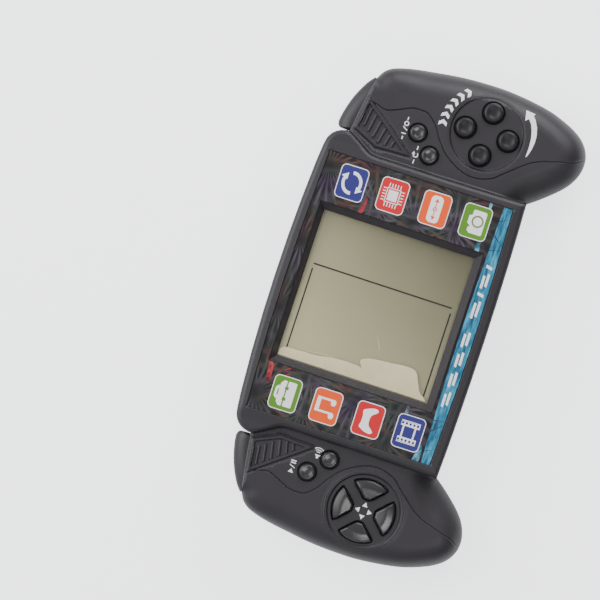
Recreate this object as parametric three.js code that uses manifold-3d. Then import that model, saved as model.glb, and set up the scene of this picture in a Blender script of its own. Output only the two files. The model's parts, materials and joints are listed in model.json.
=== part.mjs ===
// Handheld LCD game: a landscape pad with two grips, as an assembly of separate pieces.
// Units are millimetres. +X runs towards the right-hand grip, +Y towards the shoulder keys,
// +Z out of the display. Pieces are modelled about the centre of the display window, then moved
// by SHIFT_Y to centre the bounding box. The grips rest on z = 0.
import * as THREE from "three";
import { mergeVertices } from "three/addons/utils/BufferGeometryUtils.js";
import Module from "manifold-3d";

const wasm = await Module();
wasm.setup();
const { degToRad, radToDeg, smoothstep, lerp } = THREE.MathUtils;

// ---------- driving dimensions ----------
const SHIFT_Y = 9.2;
const WALL = 2.0;
const Z_BACK = 1.5; // rear face of the centre section
const Z_BACK_INNER = Z_BACK + WALL;
const Z_PART = 15.0; // parting plane between the two shells
const SEAM = 0.15; // visible gap between the shells
const Z_GRIP = 27.2; // face of the grips
const Z_FRAME = 30.0; // face of the raised display frame
const Z_CEILING_FRAME = 27.4; // inside ceiling behind the frame
const Z_CEILING_GRIP = 24.6; // inside ceiling of the grips
const Z_PANEL = 29.2; // floor of the printed panel's recess
const PANEL_THICKNESS = 0.4;
const FRAME_SIDE_X = 52.9; // beyond this |x| a screw stands in a grip

// All three boards share one plane.
const Z_BOARD = 19.6;
const BOARD_THICKNESS = 1.2;
const Z_BOARD_TOP = Z_BOARD + BOARD_THICKNESS;

// Display window: half sizes of its visible opening, and the sloping surround.
const WINDOW = { x: 28.305, y: 29.23, zFoot: 26.8 };
const SLOPE_TOP = { x: 30.9, yLow: -31.9, yHigh: 31.45 };

// Keys. The clusters lie at +x and -x; within one, keys point along the four directions.
const CLUSTER = { x: 73.334, y: -19.24 };
const DISH = { radius: 14.06, depth: 0.8 }; // sunk disc around each cluster
const DIRECTIONS = [["up", Math.PI / 2], ["left", Math.PI], ["right", 0], ["down", -Math.PI / 2]];
const WEDGE = { outerRadius: 11.692, sideOffset: 2.442, innerEnd: 4.514, clearance: 0.45 };
const WEDGE_PLUNGER_R = 7.77; // distance from the cluster's centre
const ROTATE_PITCH_R = 8.288; // distance from the cluster's centre
const ROTATE_RADIUS = 3.8;
const SMALL_RADIUS = 3.2;
const KEY_GAP = 0.4;
const Z_KEY_TOP = 28.9;
const Z_FLANGE = 24.4; // upper face of the keys' retaining flanges
const SMALL_KEYS = [[65.971, 5.106], [59.2, -1.48]]; // x, y on each side

// Screw places on the right half: x, y. The left half mirrors them.
const CASE_SCREWS = [[78.5, 13.2], [71.6, -44.2], [46.5, 29.2]];
const BOARD_SCREWS = [[37.5, 33.2], [37.5, -34.6]];
const WING_SCREWS = [[78.0, 2.6], [61.0, -37.5]];

// Battery bay, its cover and the AA cells.
const BAY = { x: 30.6, y: 16.6, zTop: 18.2, wall: 1.2 };
const COVER = { x: 31.0, yTop: 18.0 };
const CELL = { radius: 7.1, length: 49.2, y: 7.75, z: 10.75, offset: 1.2 };

const PIVOT = { x: 79.365, y: 22.385 }; // shoulder key's pivot post

// Colour, roughness, metalness.
const MATERIALS = {
  shell: [0x2b2a2d, 0.5, 0.0],
  key: [0x161617, 0.3, 0.0],
  panel: [0x2a2730, 0.25, 0.0],
  lens: [0xdde6e4, 0.05, 0.0],
  film: [0xe9e9dc, 0.2, 0.0],
  glass: [0x9b987f, 0.1, 0.0],
  polariser: [0xa3a088, 0.3, 0.0],
  reflector: [0xb9b8b0, 0.3, 0.6],
  holder: [0x1d1d1f, 0.6, 0.0],
  zebra: [0x3a3a3c, 0.8, 0.0],
  pcb: [0xa8793a, 0.6, 0.0],
  epoxy: [0x0c0c0d, 0.35, 0.0],
  rubber: [0x8f9296, 0.9, 0.0],
  steel: [0xb4b6ba, 0.3, 0.9],
  wireRed: [0xb3221c, 0.5, 0.0],
  wireBlack: [0x151515, 0.5, 0.0],
  cell: [0x2d6fb0, 0.35, 0.1],
  brass: [0xc9a24a, 0.3, 0.9],
  ribbon: [0xc8c8c6, 0.6, 0.0],
};

// ---------- measured outlines: rows of x, y on the right half ----------
// Outer edge of the grip, from the frame's lower corner round to the shoulder.
const GRIP_OUTER = [
  [53.465, -41.625], [56.24, -45.325], [59.2, -48.84], [62.9, -52.762], [66.23, -55.352],
  [69.93, -57.054], [73.445, -57.72], [76.96, -57.35], [80.29, -55.796], [83.065, -53.28],
  [85.47, -49.58], [87.394, -45.14], [89.096, -39.96], [90.28, -34.04], [91.168, -27.38],
  [91.649, -21.09], [91.649, -14.8], [91.39, -8.14], [90.798, -1.85], [89.91, 4.44],
  [88.874, 11.1], [87.542, 17.02], [85.84, 21.645], [83.805, 24.161], [81.4, 25.604],
];
// Shell edge that runs over the shoulder key.
const GRIP_TOP = [[81.4, 25.604], [77.7, 26.455], [74, 27.121], [66.6, 28.342], [59.2, 29.304]];
// Side of the grip form that is buried in the centre section.
const GRIP_BURIED = [[47.36, 29.6], [46.805, 7.4], [46.805, -18.5], [47.36, -38.48]];
// Display frame, from the middle of its upper edge to the middle of its lower edge.
const FRAME_HALF = [
  [0, 39.22], [14.8, 39.072], [29.6, 38.591], [44.4, 37.74], [51.06, 37.148],
  [53.65, 36.63], [55.5, 35.742], [56.98, 34.41], [58.09, 32.56], [58.756, 30.155],
  [58.386, 28.564], [55.5, 23.495], [53.354, 19.758], [52.91, 17.76], [52.873, 7.4],
  [52.91, -7.4], [53.132, -25.9], [53.465, -41.255], [44.4, -41.662], [29.6, -42.032],
  [14.8, -42.254], [0, -42.328],
];
const PANEL_SIDE_X = 49.654;
const PANEL_HALF = [
  [0, 35.15], [18.5, 34.965], [37, 34.41], [PANEL_SIDE_X, 33.818],
  [PANEL_SIDE_X, -37.148], [37, -37.592], [18.5, -38.147], [0, -38.332],
];
// Slot in the case that the shoulder key moves in.
const SHOULDER_SLOT = [
  [58.8115, 35.52], [58.8115, 22.2], [80.29, 20.35], [81.252, 22.94], [81.363, 35.52],
];
// Shoulder key: outer face from the frame to the outer end, then its other plans.
const SHOULDER_OUTER = [
  [59.348, 29.526], [59.385, 32.19], [59.755, 33.744], [60.976, 34.41], [62.9, 34.299],
  [65.86, 33.744], [69.19, 32.856], [72.52, 31.672], [75.85, 30.118], [78.81, 28.416],
  [81.141, 26.529],
];
const SHOULDER_INNER = [[59.348, 26.122], [66.6, 25.012], [74, 23.754], [80.142, 22.533]];
const SHOULDER_HOLLOW = [
  [60.865, 25.16], [60.865, 32.412], [64.75, 31.894], [68.45, 30.858], [72.15, 29.452],
  [75.48, 27.75], [75.48, 22.57],
];
const SHOULDER_FLANGE = [
  [59.644, 26.788], [66.6, 25.752], [73.26, 24.568], [73.26, 23.236], [66.6, 24.42],
  [59.644, 25.456],
];
const SHOULDER_ARM = [
  [72.52, 25.9], [77.7, 24.605], [PIVOT.x, 23.865], [PIVOT.x, 21.275], [75.85, 21.275],
  [72.52, 22.94],
];
const KEYPAD_OUTLINE = [
  [55.87, 8.14], [55.87, -31.82], [67.34, -34.41], [78.44, -34.41], [86.58, -27.38],
  [87.32, -14.8], [86.21, -3.7], [80.66, 1.48], [70.3, 8.88],
];
const WING_OUTLINE = [
  [55.5, 8.88], [55.5, -38.48], [67.34, -39.22], [79.18, -36.26], [87.32, -28.12],
  [87.69, -14.8], [86.765, -2.96], [81.03, 5.92], [70.3, 9.62],
];

// ---------- solids ----------
function toSolid(geometry) {
  const source = geometry.index ? geometry.toNonIndexed() : geometry;
  const bare = new THREE.BufferGeometry();
  bare.setAttribute("position", source.getAttribute("position").clone());
  const merged = mergeVertices(bare, 1e-4);
  return new wasm.Manifold(new wasm.Mesh({
    numProp: 3,
    vertProperties: new Float32Array(merged.attributes.position.array),
    triVerts: new Uint32Array(merged.index.array),
  }));
}

function toGeometry(solid) {
  const mesh = solid.getMesh();
  const positions = new Float32Array(mesh.numVert * 3);
  for (let i = 0; i < mesh.numVert; i++) {
    const start = i * mesh.numProp;
    positions.set(mesh.vertProperties.subarray(start, start + 3), i * 3);
  }
  const geometry = new THREE.BufferGeometry();
  geometry.setAttribute("position", new THREE.BufferAttribute(positions, 3));
  geometry.setIndex(new THREE.BufferAttribute(new Uint32Array(mesh.triVerts), 1));
  geometry.computeVertexNormals();
  return geometry;
}

function box(x0, y0, z0, x1, y1, z1) {
  const geometry = new THREE.BoxGeometry(x1 - x0, y1 - y0, z1 - z0);
  return toSolid(geometry.translate((x0 + x1) / 2, (y0 + y1) / 2, (z0 + z1) / 2));
}
// Box centred in plan, from its half sizes.
const centredBox = (x, y, z0, z1) => box(-x, -y, z0, x, y, z1);

function cylinder(x, y, z0, z1, radius, segments = 24, topRadius = radius) {
  const geometry = new THREE.CylinderGeometry(topRadius, radius, z1 - z0, segments);
  return toSolid(geometry.rotateX(Math.PI / 2).translate(x, y, (z0 + z1) / 2));
}
function cylinderAlongX(x0, x1, y, z, radius, segments) {
  const geometry = new THREE.CylinderGeometry(radius, radius, x1 - x0, segments);
  return toSolid(geometry.rotateZ(-Math.PI / 2).translate((x0 + x1) / 2, y, z));
}

const union = (solids) => solids.reduce((sum, solid) => sum.add(solid));
const mirrored = (solid) => solid.mirror([1, 0, 0]);
const both = (solid) => solid.add(mirrored(solid));
// One solid per place on the right half, and their mirror images.
const atPlaces = (places, make) => both(union(places.map(([x, y]) => make(x, y))));

const point = (x, y) => new THREE.Vector2(x, y);
const toPoints = (rows) => rows.map(([x, y]) => point(x, y));
// Closes a right half, which starts and ends on x = 0, with its mirror image.
function closeByMirror(half) {
  const left = half.map(({ x, y }) => point(-x, y)).reverse();
  return [...half, ...left.slice(1, -1)];
}

function prism(points, z0, z1) {
  const options = { depth: z1 - z0, bevelEnabled: false, steps: 1 };
  const geometry = new THREE.ExtrudeGeometry(new THREE.Shape(points), options);
  return toSolid(geometry.translate(0, 0, z0));
}
// Prism with both edges rounded inside the given outline.
function roundedPrism(points, z0, z1, radius, bevelSegments) {
  const geometry = new THREE.ExtrudeGeometry(new THREE.Shape(points), {
    depth: z1 - z0 - 2 * radius,
    bevelEnabled: true,
    bevelThickness: radius,
    bevelSize: radius,
    bevelOffset: -radius,
    bevelSegments,
    steps: 1,
  });
  return toSolid(geometry.translate(0, 0, z0 + radius));
}
// The lower rounded edge is cut away, which leaves a sharp edge at z0.
function roundedTop(points, z0, z1, radius, bevelSegments) {
  const full = roundedPrism(points, z0 - 3 - radius, z1, radius, bevelSegments);
  return full.intersect(centredBox(200, 200, z0, z1 + 5));
}

// Turns a radius, height profile about Z.
function turned(profile) {
  return toSolid(new THREE.LatheGeometry(toPoints(profile), 20).rotateX(Math.PI / 2));
}

// Sweeps a regular polygon along a curve.
function sweep(curve, radius, sides, steps) {
  const corners = Array.from({ length: sides }, (_, i) => {
    const angle = (2 * Math.PI * i) / sides;
    return point(radius * Math.cos(angle), radius * Math.sin(angle));
  });
  const options = { steps, extrudePath: curve, bevelEnabled: false };
  return toSolid(new THREE.ExtrudeGeometry(new THREE.Shape(corners), options));
}

function roundRect(x, y, radius, segments = 4) {
  const corners = [[1, -1, -90], [1, 1, 0], [-1, 1, 90], [-1, -1, 180]]; // signs, start angle
  return corners.flatMap(([signX, signY, start]) =>
    Array.from({ length: segments + 1 }, (_, i) => {
      const angle = degToRad(start + (90 * i) / segments);
      return point(
        signX * (x.half - radius) + x.middle + radius * Math.cos(angle),
        signY * (y.half - radius) + y.middle + radius * Math.sin(angle),
      );
    }));
}

// Resamples a spline through the points evenly.
const smooth = (rows, divisions) =>
  new THREE.SplineCurve(toPoints(rows)).getSpacedPoints(divisions);

// Moves each point of an anticlockwise outline inwards by a distance, or by one per point.
function inset(points, distance) {
  const count = points.length;
  return points.map((here, i) => {
    const before = points[(i + count - 1) % count];
    const after = points[(i + 1) % count];
    const tangent = after.clone().sub(before).normalize();
    const depth = typeof distance === "number" ? distance : distance[i];
    return point(here.x - tangent.y * depth, here.y + tangent.x * depth);
  });
}

// Closed loft over rings of equal length; each ring is a list of [x, y, z]. Ends are capped.
function loft(rings) {
  const count = rings[0].length;
  const positions = [];
  const triangle = (a, b, c) => positions.push(...a, ...b, ...c);
  for (let k = 0; k + 1 < rings.length; k++) {
    for (let i = 0; i < count; i++) {
      const next = (i + 1) % count;
      triangle(rings[k][i], rings[k][next], rings[k + 1][next]);
      triangle(rings[k][i], rings[k + 1][next], rings[k + 1][i]);
    }
  }
  for (const [ring, facesUp] of [[rings[0], false], [rings[rings.length - 1], true]]) {
    const plan = toPoints(ring);
    for (const [a, b, c] of THREE.ShapeUtils.triangulateShape(plan, [])) {
      const anticlockwise = THREE.ShapeUtils.area([plan[a], plan[b], plan[c]]) > 0;
      if (anticlockwise === facesUp) triangle(ring[a], ring[b], ring[c]);
      else triangle(ring[a], ring[c], ring[b]);
    }
  }
  const geometry = new THREE.BufferGeometry();
  geometry.setAttribute("position", new THREE.BufferAttribute(new Float32Array(positions), 3));
  return toSolid(geometry);
}
const levelRing = (points, z) => points.map((p) => [p.x, p.y, z]);

// One ring of a rounded edge. At 0 degrees it has the full outline, at 90 it is inset by reach.
// heightAt gives z from the share of the drop still to go and the point's index.
function edgeRing(outline, offset, reach, degrees, heightAt) {
  const angle = degToRad(degrees);
  const distances = reach.map((r) => offset + r * (1 - Math.cos(angle)));
  const share = 1 - Math.sin(angle);
  return inset(outline, distances).map((p, i) => [p.x, p.y, heightAt(share, i)]);
}

// ---------- outer forms ----------
const gripOutline = [ // anticlockwise
  ...smooth(GRIP_OUTER, 38),
  ...smooth(GRIP_TOP, 5).slice(1),
  ...toPoints(GRIP_BURIED),
];
const frameOutline = closeByMirror(toPoints(FRAME_HALF)).reverse(); // anticlockwise
const BURIED_X = 48.1; // grip points nearer the middle than this are buried
const MIN_REACH = 0.6;

// Softness of a grip's front edge: reach across the face, and drop in height.
function frontEdge({ x, y }) {
  if (x < BURIED_X) return { reach: 1.5, drop: 2 };
  const shoulder = smoothstep(y, 21.46, 25.16); // tight edge over the shoulder key
  const tip = 1 - smoothstep(y, -49.95, -35.15); // broad fall at the grip's end
  return {
    reach: lerp(8.4 + 0.6 * tip, 2.6, shoulder),
    drop: lerp(8.4 + 2 * tip, 2.4, shoulder),
  };
}
// Reach of a grip's rear edge: small beside the frame's lower corner and at the shoulder.
function rearReach({ x, y }) {
  if (x < BURIED_X) return 3;
  const side = 1.5 + 7.5 * smoothstep(x, 51.8, 62.16);
  return lerp(side, 3, smoothstep(y, 16.28, 23.68));
}

// Grip above the parting plane. The edge tightens twice as fast as the offset, which leaves
// room inside for the key flanges.
function gripFront(zBottom, zTop, offset) {
  const edges = gripOutline.map(frontEdge);
  const reach = edges.map((edge) => Math.max(edge.reach - 2 * offset, MIN_REACH));
  const drop = edges.map((edge) => Math.max(edge.drop - 2 * offset, MIN_REACH));
  const heightAt = (share, i) => zTop - drop[i] * share;
  return loft([
    levelRing(inset(gripOutline, offset), zBottom),
    ...[0, 26, 50, 72, 90].map((a) => edgeRing(gripOutline, offset, reach, a, heightAt)),
  ]);
}
// Grip below the parting plane.
function gripRear(zFlat, zTop, offset) {
  const rise = 12.5 - offset;
  const reach = gripOutline.map((p) => Math.max(rearReach(p) - offset, MIN_REACH));
  const heightAt = (share) => zFlat + rise * share;
  return loft([
    ...[90, 64, 38, 16, 0].map((a) => edgeRing(gripOutline, offset, reach, a, heightAt)),
    levelRing(inset(gripOutline, offset), zTop),
  ]);
}
// Centre section below the parting plane, rounded towards the back face.
function centreRear({ zFlat, zTop, offset, radius, sideReach, angles }) {
  const reach = frameOutline.map((p) => (Math.abs(p.x) > 50.69 ? sideReach : radius));
  const heightAt = (share) => zFlat + radius * share;
  return loft([
    ...angles.map((a) => edgeRing(frameOutline, offset, reach, a, heightAt)),
    levelRing(inset(frameOutline, offset), zTop),
  ]);
}
const rearForm = both(gripRear(0, Z_PART, 0)).add(centreRear({
  zFlat: Z_BACK, zTop: Z_PART, offset: 0, radius: 4, sideReach: 1, angles: [90, 60, 30, 0],
}));

function panelOutline(grow) {
  const half = PANEL_HALF.map(([x, y]) =>
    point(x === PANEL_SIDE_X ? x + grow : x, y + Math.sign(y) * grow));
  return closeByMirror(half);
}

// Room for both shoulder keys and their knuckles.
function shoulderRoom(z0, z1) {
  const knuckle = cylinder(PIVOT.x, PIVOT.y, z0, z1, 3.0, 16);
  return both(prism(toPoints(SHOULDER_SLOT), z0, z1).add(knuckle));
}

// ---------- key layout ----------
// A direction key's outline pointing along +X from the cluster's centre: outer arc, two sides
// parallel to the diagonals, blunt inner end.
function wedgeOutline(grow) {
  const radius = WEDGE.outerRadius + grow;
  const side = WEDGE.sideOffset - grow;
  const inner = WEDGE.innerEnd - grow;
  const halfAngle = Math.PI / 4 - Math.asin(side / radius);
  const points = [];
  for (let i = 0; i <= 10; i++) {
    const angle = -halfAngle + (2 * halfAngle * i) / 10;
    points.push(point(radius * Math.cos(angle), radius * Math.sin(angle)));
  }
  const innerHalf = inner - side * Math.SQRT2;
  points.push(point(inner, innerHalf), point(inner, -innerHalf));
  return points;
}
// Turns a wedge solid to its direction and moves it to the left cluster.
const placeWedge = (solid, angle) =>
  solid.rotate([0, 0, radToDeg(angle)]).translate([-CLUSTER.x, CLUSTER.y, 0]);

// Key centres of the right cluster, at a distance from its centre.
const clusterPlaces = (distance) => DIRECTIONS.map(([, angle]) => [
  CLUSTER.x + distance * Math.cos(angle),
  CLUSTER.y + distance * Math.sin(angle),
]);

function keyOpenings() {
  const z0 = 20;
  const z1 = 32;
  const wedge = prism(wedgeOutline(WEDGE.clearance), z0, z1);
  return union([
    atPlaces(SMALL_KEYS, (x, y) => cylinder(x, y, z0, z1, SMALL_RADIUS + KEY_GAP, 20)),
    ...clusterPlaces(ROTATE_PITCH_R).map(([x, y]) =>
      cylinder(x, y, z0, z1, ROTATE_RADIUS + KEY_GAP, 20)),
    ...DIRECTIONS.map(([, angle]) => placeWedge(wedge, angle)),
  ]);
}

// ---------- front shell ----------
// Opening that narrows from the panel down to the display window.
function windowOpening() {
  const ring = (x, yLow, yHigh, z) => [[-x, yLow, z], [x, yLow, z], [x, yHigh, z], [-x, yHigh, z]];
  const foot = (z) => ring(WINDOW.x, -WINDOW.y, WINDOW.y, z);
  const top = (z) => ring(SLOPE_TOP.x, SLOPE_TOP.yLow, SLOPE_TOP.yHigh, z);
  return loft([
    foot(WINDOW.zFoot - 1),
    foot(WINDOW.zFoot),
    top(Z_PANEL + PANEL_THICKNESS),
    top(Z_FRAME + 1),
  ]);
}

// Posts run 0.6 into the ceiling above them.
const postTop = (x) => (x > FRAME_SIDE_X ? Z_CEILING_GRIP : Z_CEILING_FRAME) + 0.6;

function addFrontPosts(shell) {
  const zBoardPost = Z_BOARD_TOP + 0.05;
  const kinds = [
    { places: CASE_SCREWS, z: 14.4, radius: 2.7, segments: 12, hole: [13, 23, 1.35] },
    { places: BOARD_SCREWS, z: zBoardPost, radius: 2.3, segments: 10, hole: [15, 26, 1.1] },
    { places: WING_SCREWS, z: zBoardPost, radius: 2.0, segments: 10, hole: [15, 24.2, 1.1] },
  ];
  return kinds.reduce((sum, { places, z, radius, segments, hole }) => {
    const posts = atPlaces(places, (x, y) => cylinder(x, y, z, postTop(x), radius, segments));
    return sum.add(posts).subtract(atPlaces(places, (x, y) => cylinder(x, y, ...hole, 8)));
  }, shell);
}

function frontShell() {
  const zEdge = Z_PART + SEAM;
  const zCavity = Z_PART - 5;
  const outer = both(gripFront(zEdge, Z_GRIP, 0))
    .add(roundedTop(frameOutline, zEdge, Z_FRAME, 1.5, 3));
  const cavity = both(gripFront(zCavity, Z_CEILING_GRIP, WALL))
    .add(prism(inset(frameOutline, WALL), zCavity, Z_CEILING_FRAME));
  const surround = box(
    -SLOPE_TOP.x - 3, SLOPE_TOP.yLow - 3, WINDOW.zFoot - 0.1,
    SLOPE_TOP.x + 3, SLOPE_TOP.yHigh + 3, Z_PANEL - 0.2,
  );
  const dish = cylinder(CLUSTER.x, CLUSTER.y, Z_GRIP - DISH.depth, Z_GRIP + 2, DISH.radius, 40);
  const shell = outer
    .subtract(cavity)
    .subtract(prism(panelOutline(0.15), Z_PANEL, Z_FRAME + 1))
    .add(surround)
    .subtract(windowOpening())
    .subtract(both(dish))
    .subtract(keyOpenings())
    .subtract(shoulderRoom(Z_PART - 2, 21.3));
  return addFrontPosts(shell);
}

// ---------- rear shell ----------
// Battery bay: four walls and a roof, open at the back.
function addBay(shell) {
  const { x, y, zTop, wall } = BAY;
  return shell
    .add(centredBox(x + wall, y + wall, Z_BACK + 1, zTop + 1.1))
    .subtract(centredBox(x, y, Z_BACK - 1, zTop));
}

// Way for the cover, which runs out through the lower edge, with side grooves and a floor.
function addDoorway(shell) {
  const { x, yTop } = COVER;
  const z = Z_BACK_INNER;
  return shell
    .subtract(box(-x - 0.3, -60, Z_BACK - 1, x + 0.3, yTop + 0.3, z + 0.02))
    .subtract(box(-x - 2.1, -60, z, x + 2.1, -BAY.y - 1.19, z + 1.6))
    .add(box(-x - 2.6, -40.6, z + 1.65, x + 2.6, -BAY.y - 1.0, z + 2.9));
}

function addPivotPosts(shell) {
  const post = cylinder(PIVOT.x, PIVOT.y, 2.5, 20.4, 1.2, 16);
  const foot = cylinder(PIVOT.x, PIVOT.y, 2.5, 7.0, 2.6, 16);
  return shell.add(both(post.add(foot)));
}

function addScrewWells(shell) {
  const footZ = (x) => (x > FRAME_SIDE_X ? 1.2 : Z_BACK + 1);
  return shell
    .add(atPlaces(CASE_SCREWS, (x, y) => cylinder(x, y, footZ(x), 14.2, 3.6, 14)))
    .subtract(atPlaces(CASE_SCREWS, (x, y) => cylinder(x, y, -1, 12.2, 2.7, 12)))
    .subtract(atPlaces(CASE_SCREWS, (x, y) => cylinder(x, y, -1, 16, 1.5, 8)));
}

function soundSlots() {
  const pitch = 2.4;
  return union([-2, -1, 0, 1, 2].map((i) =>
    box(i * pitch - 0.5, 23.4, Z_BACK - 1, i * pitch + 0.5, 29.8, Z_BACK_INNER + 0.5)));
}

function rearShell() {
  const cavity = both(gripRear(WALL, Z_PART + 3, WALL)).add(centreRear({
    zFlat: Z_BACK_INNER, zTop: Z_PART + 3, offset: WALL, radius: 2.4, sideReach: 0.6,
    angles: [90, 45, 0],
  }));
  let shell = addDoorway(addBay(rearForm.subtract(cavity)));
  shell = shell.subtract(shoulderRoom(6.9, Z_PART + 2));
  return addScrewWells(addPivotPosts(shell)).subtract(soundSlots());
}

// The cover is cut from the case's own outer form, so its free end follows the lower edge.
function batteryCover() {
  const { x, yTop } = COVER;
  const z = Z_BACK_INNER;
  const plate = rearForm.intersect(box(-x, -60, Z_BACK - 1, x, yTop, z - 0.05));
  const lip = rearForm.intersect(box(-x - 1.8, -60, z - 0.3, x + 1.8, -39.2, z + 1.3));
  // tongues that run inside the case on both sides of the way
  const tongue = box(x - 1.4, -39.5, z - 0.3, x + 1.7, -19.0, z + 1.2);
  const sideClearance = box(x, -60, Z_BACK, 60, 0, z + 0.15);
  const grooves = union([0, 1, 2, 3, 4].map((i) =>
    box(-9, -33.5 + i * 2.2, Z_BACK - 1, 9, -32.6 + i * 2.2, Z_BACK + 0.5)));
  return plate
    .add(lip.add(both(tongue)).subtract(both(sideClearance)))
    .subtract(grooves);
}

function printedPanel() {
  const margin = 0.2;
  const opening = box(
    -SLOPE_TOP.x - margin, SLOPE_TOP.yLow - margin, 25,
    SLOPE_TOP.x + margin, SLOPE_TOP.yHigh + margin, 35,
  );
  const plate = prism(panelOutline(0), Z_PANEL + 0.02, Z_PANEL + PANEL_THICKNESS);
  return plate.subtract(opening);
}

// ---------- display stack ----------
// Two panes; the front one is longer in Y.
const lcdGlass = () => centredBox(32, 34.4, 23.9, 25.0).add(centredBox(32, 31.0, 22.8, 23.95));

function lcdHolder() {
  const outline = roundRect({ middle: 0, half: 34.2 }, { middle: 0, half: 36.4 }, 1.5);
  const zebraSlot = box(-27, 31.6, 20, 27, 34.4, 26);
  return prism(outline, 20.95, 25.2)
    .subtract(centredBox(32.25, 34.65, 22.3, 26))
    .subtract(centredBox(28, 30, 20, 26))
    .subtract(zebraSlot)
    .subtract(zebraSlot.mirror([0, 1, 0]));
}

const zebraStrip = () => box(-26, 31.9, Z_BOARD_TOP + 0.02, 26, 33.9, 23.88);

// ---------- keys ----------
// Cap with a softened shoulder and a shallow dish, on a retaining flange with a plunger.
function roundKey(x, y, radius, flange) {
  return turned([
    [0, Z_FLANGE - 1.2],
    [1.6, Z_FLANGE - 1.2],
    [1.6, Z_FLANGE - 1],
    [radius + flange, Z_FLANGE - 1],
    [radius + flange, Z_FLANGE],
    [radius, Z_FLANGE],
    [radius, Z_KEY_TOP - 1.1],
    [radius * 0.9, Z_KEY_TOP - 0.35],
    [radius * 0.72, Z_KEY_TOP],
    [radius * 0.45, Z_KEY_TOP - 0.32],
    [0, Z_KEY_TOP - 0.45],
  ]).translate([x, y, 0]);
}

function directionKey(angle) {
  const centreX = 8.51; // the cap's rings shrink towards this point
  const ring = (scale, heightAt) => wedgeOutline(0).map((p) => {
    const x = centreX + (p.x - centreX) * scale;
    return [x, p.y * scale, heightAt(x)];
  });
  const cap = loft([
    ring(1, () => Z_FLANGE - 0.2),
    ring(1, () => 27.5),
    ring(0.9, () => 28.0),
    ring(0.45, (x) => 28.8 - 0.045 * Math.abs(x - centreX)),
  ]);
  const flange = prism(wedgeOutline(WEDGE.clearance), Z_FLANGE - 1, Z_FLANGE);
  const plunger = cylinder(WEDGE_PLUNGER_R, 0, Z_FLANGE - 1.2, Z_FLANGE - 0.9, 1.6, 12);
  return placeWedge(cap.add(flange).add(plunger), angle);
}

// Right-hand silicone sheet with a hollow dome under every key.
function rubberKeypad(domeDistance) {
  const places = [...clusterPlaces(domeDistance), ...SMALL_KEYS];
  const sheet = prism(inset(toPoints(KEYPAD_OUTLINE), 0.4), 20.9, 21.7);
  const domes = places.map(([x, y]) => cylinder(x, y, 21.6, 23.15, 2.9, 12, 1.9));
  const hollows = places.map(([x, y]) => cylinder(x, y, 20, 22.0, 2.1, 10, 1.5));
  const postHoles = WING_SCREWS.map(([x, y]) => cylinder(x, y, 20, 23, 2.6, 14));
  return sheet.add(union(domes)).subtract(union(hollows)).subtract(union(postHoles));
}

// Shoulder key: curved outer face, hollow inside, with a stop flange behind the case wall and
// a knuckle round the pivot post.
function shoulderKey() {
  const hollowZ = [9.3, 18.9];
  const outline = [...smooth(SHOULDER_OUTER, 10).reverse(), ...toPoints(SHOULDER_INNER)];
  const flangeWindow = box(61.42, 18.5, hollowZ[0], 72.15, 33.3, hollowZ[1]);
  return roundedPrism(outline, 7.3, 20.9, 1.2, 2)
    .subtract(prism(toPoints(SHOULDER_HOLLOW), ...hollowZ))
    .add(prism(toPoints(SHOULDER_FLANGE), 5.6, 22.4).subtract(flangeWindow))
    .add(prism(toPoints(SHOULDER_ARM), ...hollowZ))
    .add(cylinder(PIVOT.x, PIVOT.y, 7.4, 20.2, 2.5, 16))
    .subtract(cylinder(PIVOT.x, PIVOT.y, 5, 22, 1.3, 16));
}

// ---------- boards and electronics ----------
const boardHole = (x, y) => cylinder(x, y, 15, 25, 1.3, 12);

function mainBoard() {
  // upper edge at y = 35.0, lower edge at y = -37.6
  const outline = roundRect({ middle: 0, half: 41.5 }, { middle: -1.3, half: 36.3 }, 1);
  return prism(outline, Z_BOARD, Z_BOARD_TOP).subtract(atPlaces(BOARD_SCREWS, boardHole));
}

function rightKeyBoard() {
  const holes = union(WING_SCREWS.map(([x, y]) => boardHole(x, y)));
  return prism(toPoints(WING_OUTLINE), Z_BOARD, Z_BOARD_TOP).subtract(holes);
}

// Right-hand ribbon that dips between the boards.
function ribbonCable() {
  const thickness = 0.3;
  const width = 12;
  const yTop = -6;
  const z = Z_BOARD - 0.12;
  const zDip = z - 2.2;
  const upper = [[39.0, z], [44, z], [47, zDip], [52, zDip], [55, z], [58.2, z]]; // x, z
  const lower = upper.map(([x, height]) => [x, height - thickness]).reverse();
  const side = prism(toPoints([...upper, ...lower]), 0, width);
  return side.rotate([90, 0, 0]).translate([0, yTop, 0]);
}

// Epoxy dome on the rear of the main board, bulging towards the back.
function chipPotting() {
  const profile = [[0, 0], [2.6, 0.15], [4.2, 0.7], [5.2, 1.7], [0, 1.7]]; // radius, height
  return turned(profile).translate([-8, 26.5, Z_BOARD - 1.75]);
}

const filterCapacitor = () => cylinder(12, 26.5, Z_BOARD - 7.05, Z_BOARD - 0.05, 2.5, 16);
const buzzerDisc = () => cylinder(0, 26.6, Z_BACK_INNER + 0.05, Z_BACK_INNER + 0.65, 8.0, 28);

// Pan-head screw driven upwards, with a cross recess; z is the plane the head bears on.
function screw(x, y, z, { length, headRadius, shankRadius }) {
  const arm = headRadius * 0.6;
  return cylinder(x, y, z - 1.6, z, headRadius * 0.8, 12, headRadius)
    .add(cylinder(x, y, z - 0.1, z + length - 1, shankRadius, 8))
    .add(cylinder(x, y, z + length - 1.1, z + length, shankRadius, 8, 0.3))
    .subtract(box(x - arm, y - 0.3, z - 2, x + arm, y + 0.3, z - 0.9))
    .subtract(box(x - 0.3, y - arm, z - 2, x + 0.3, y + arm, z - 0.9));
}

function wire(path, radius) {
  const points = path.map((place) => new THREE.Vector3(...place));
  return sweep(new THREE.CatmullRomCurve3(points, false, "centripetal"), radius, 6, 14);
}

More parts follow.
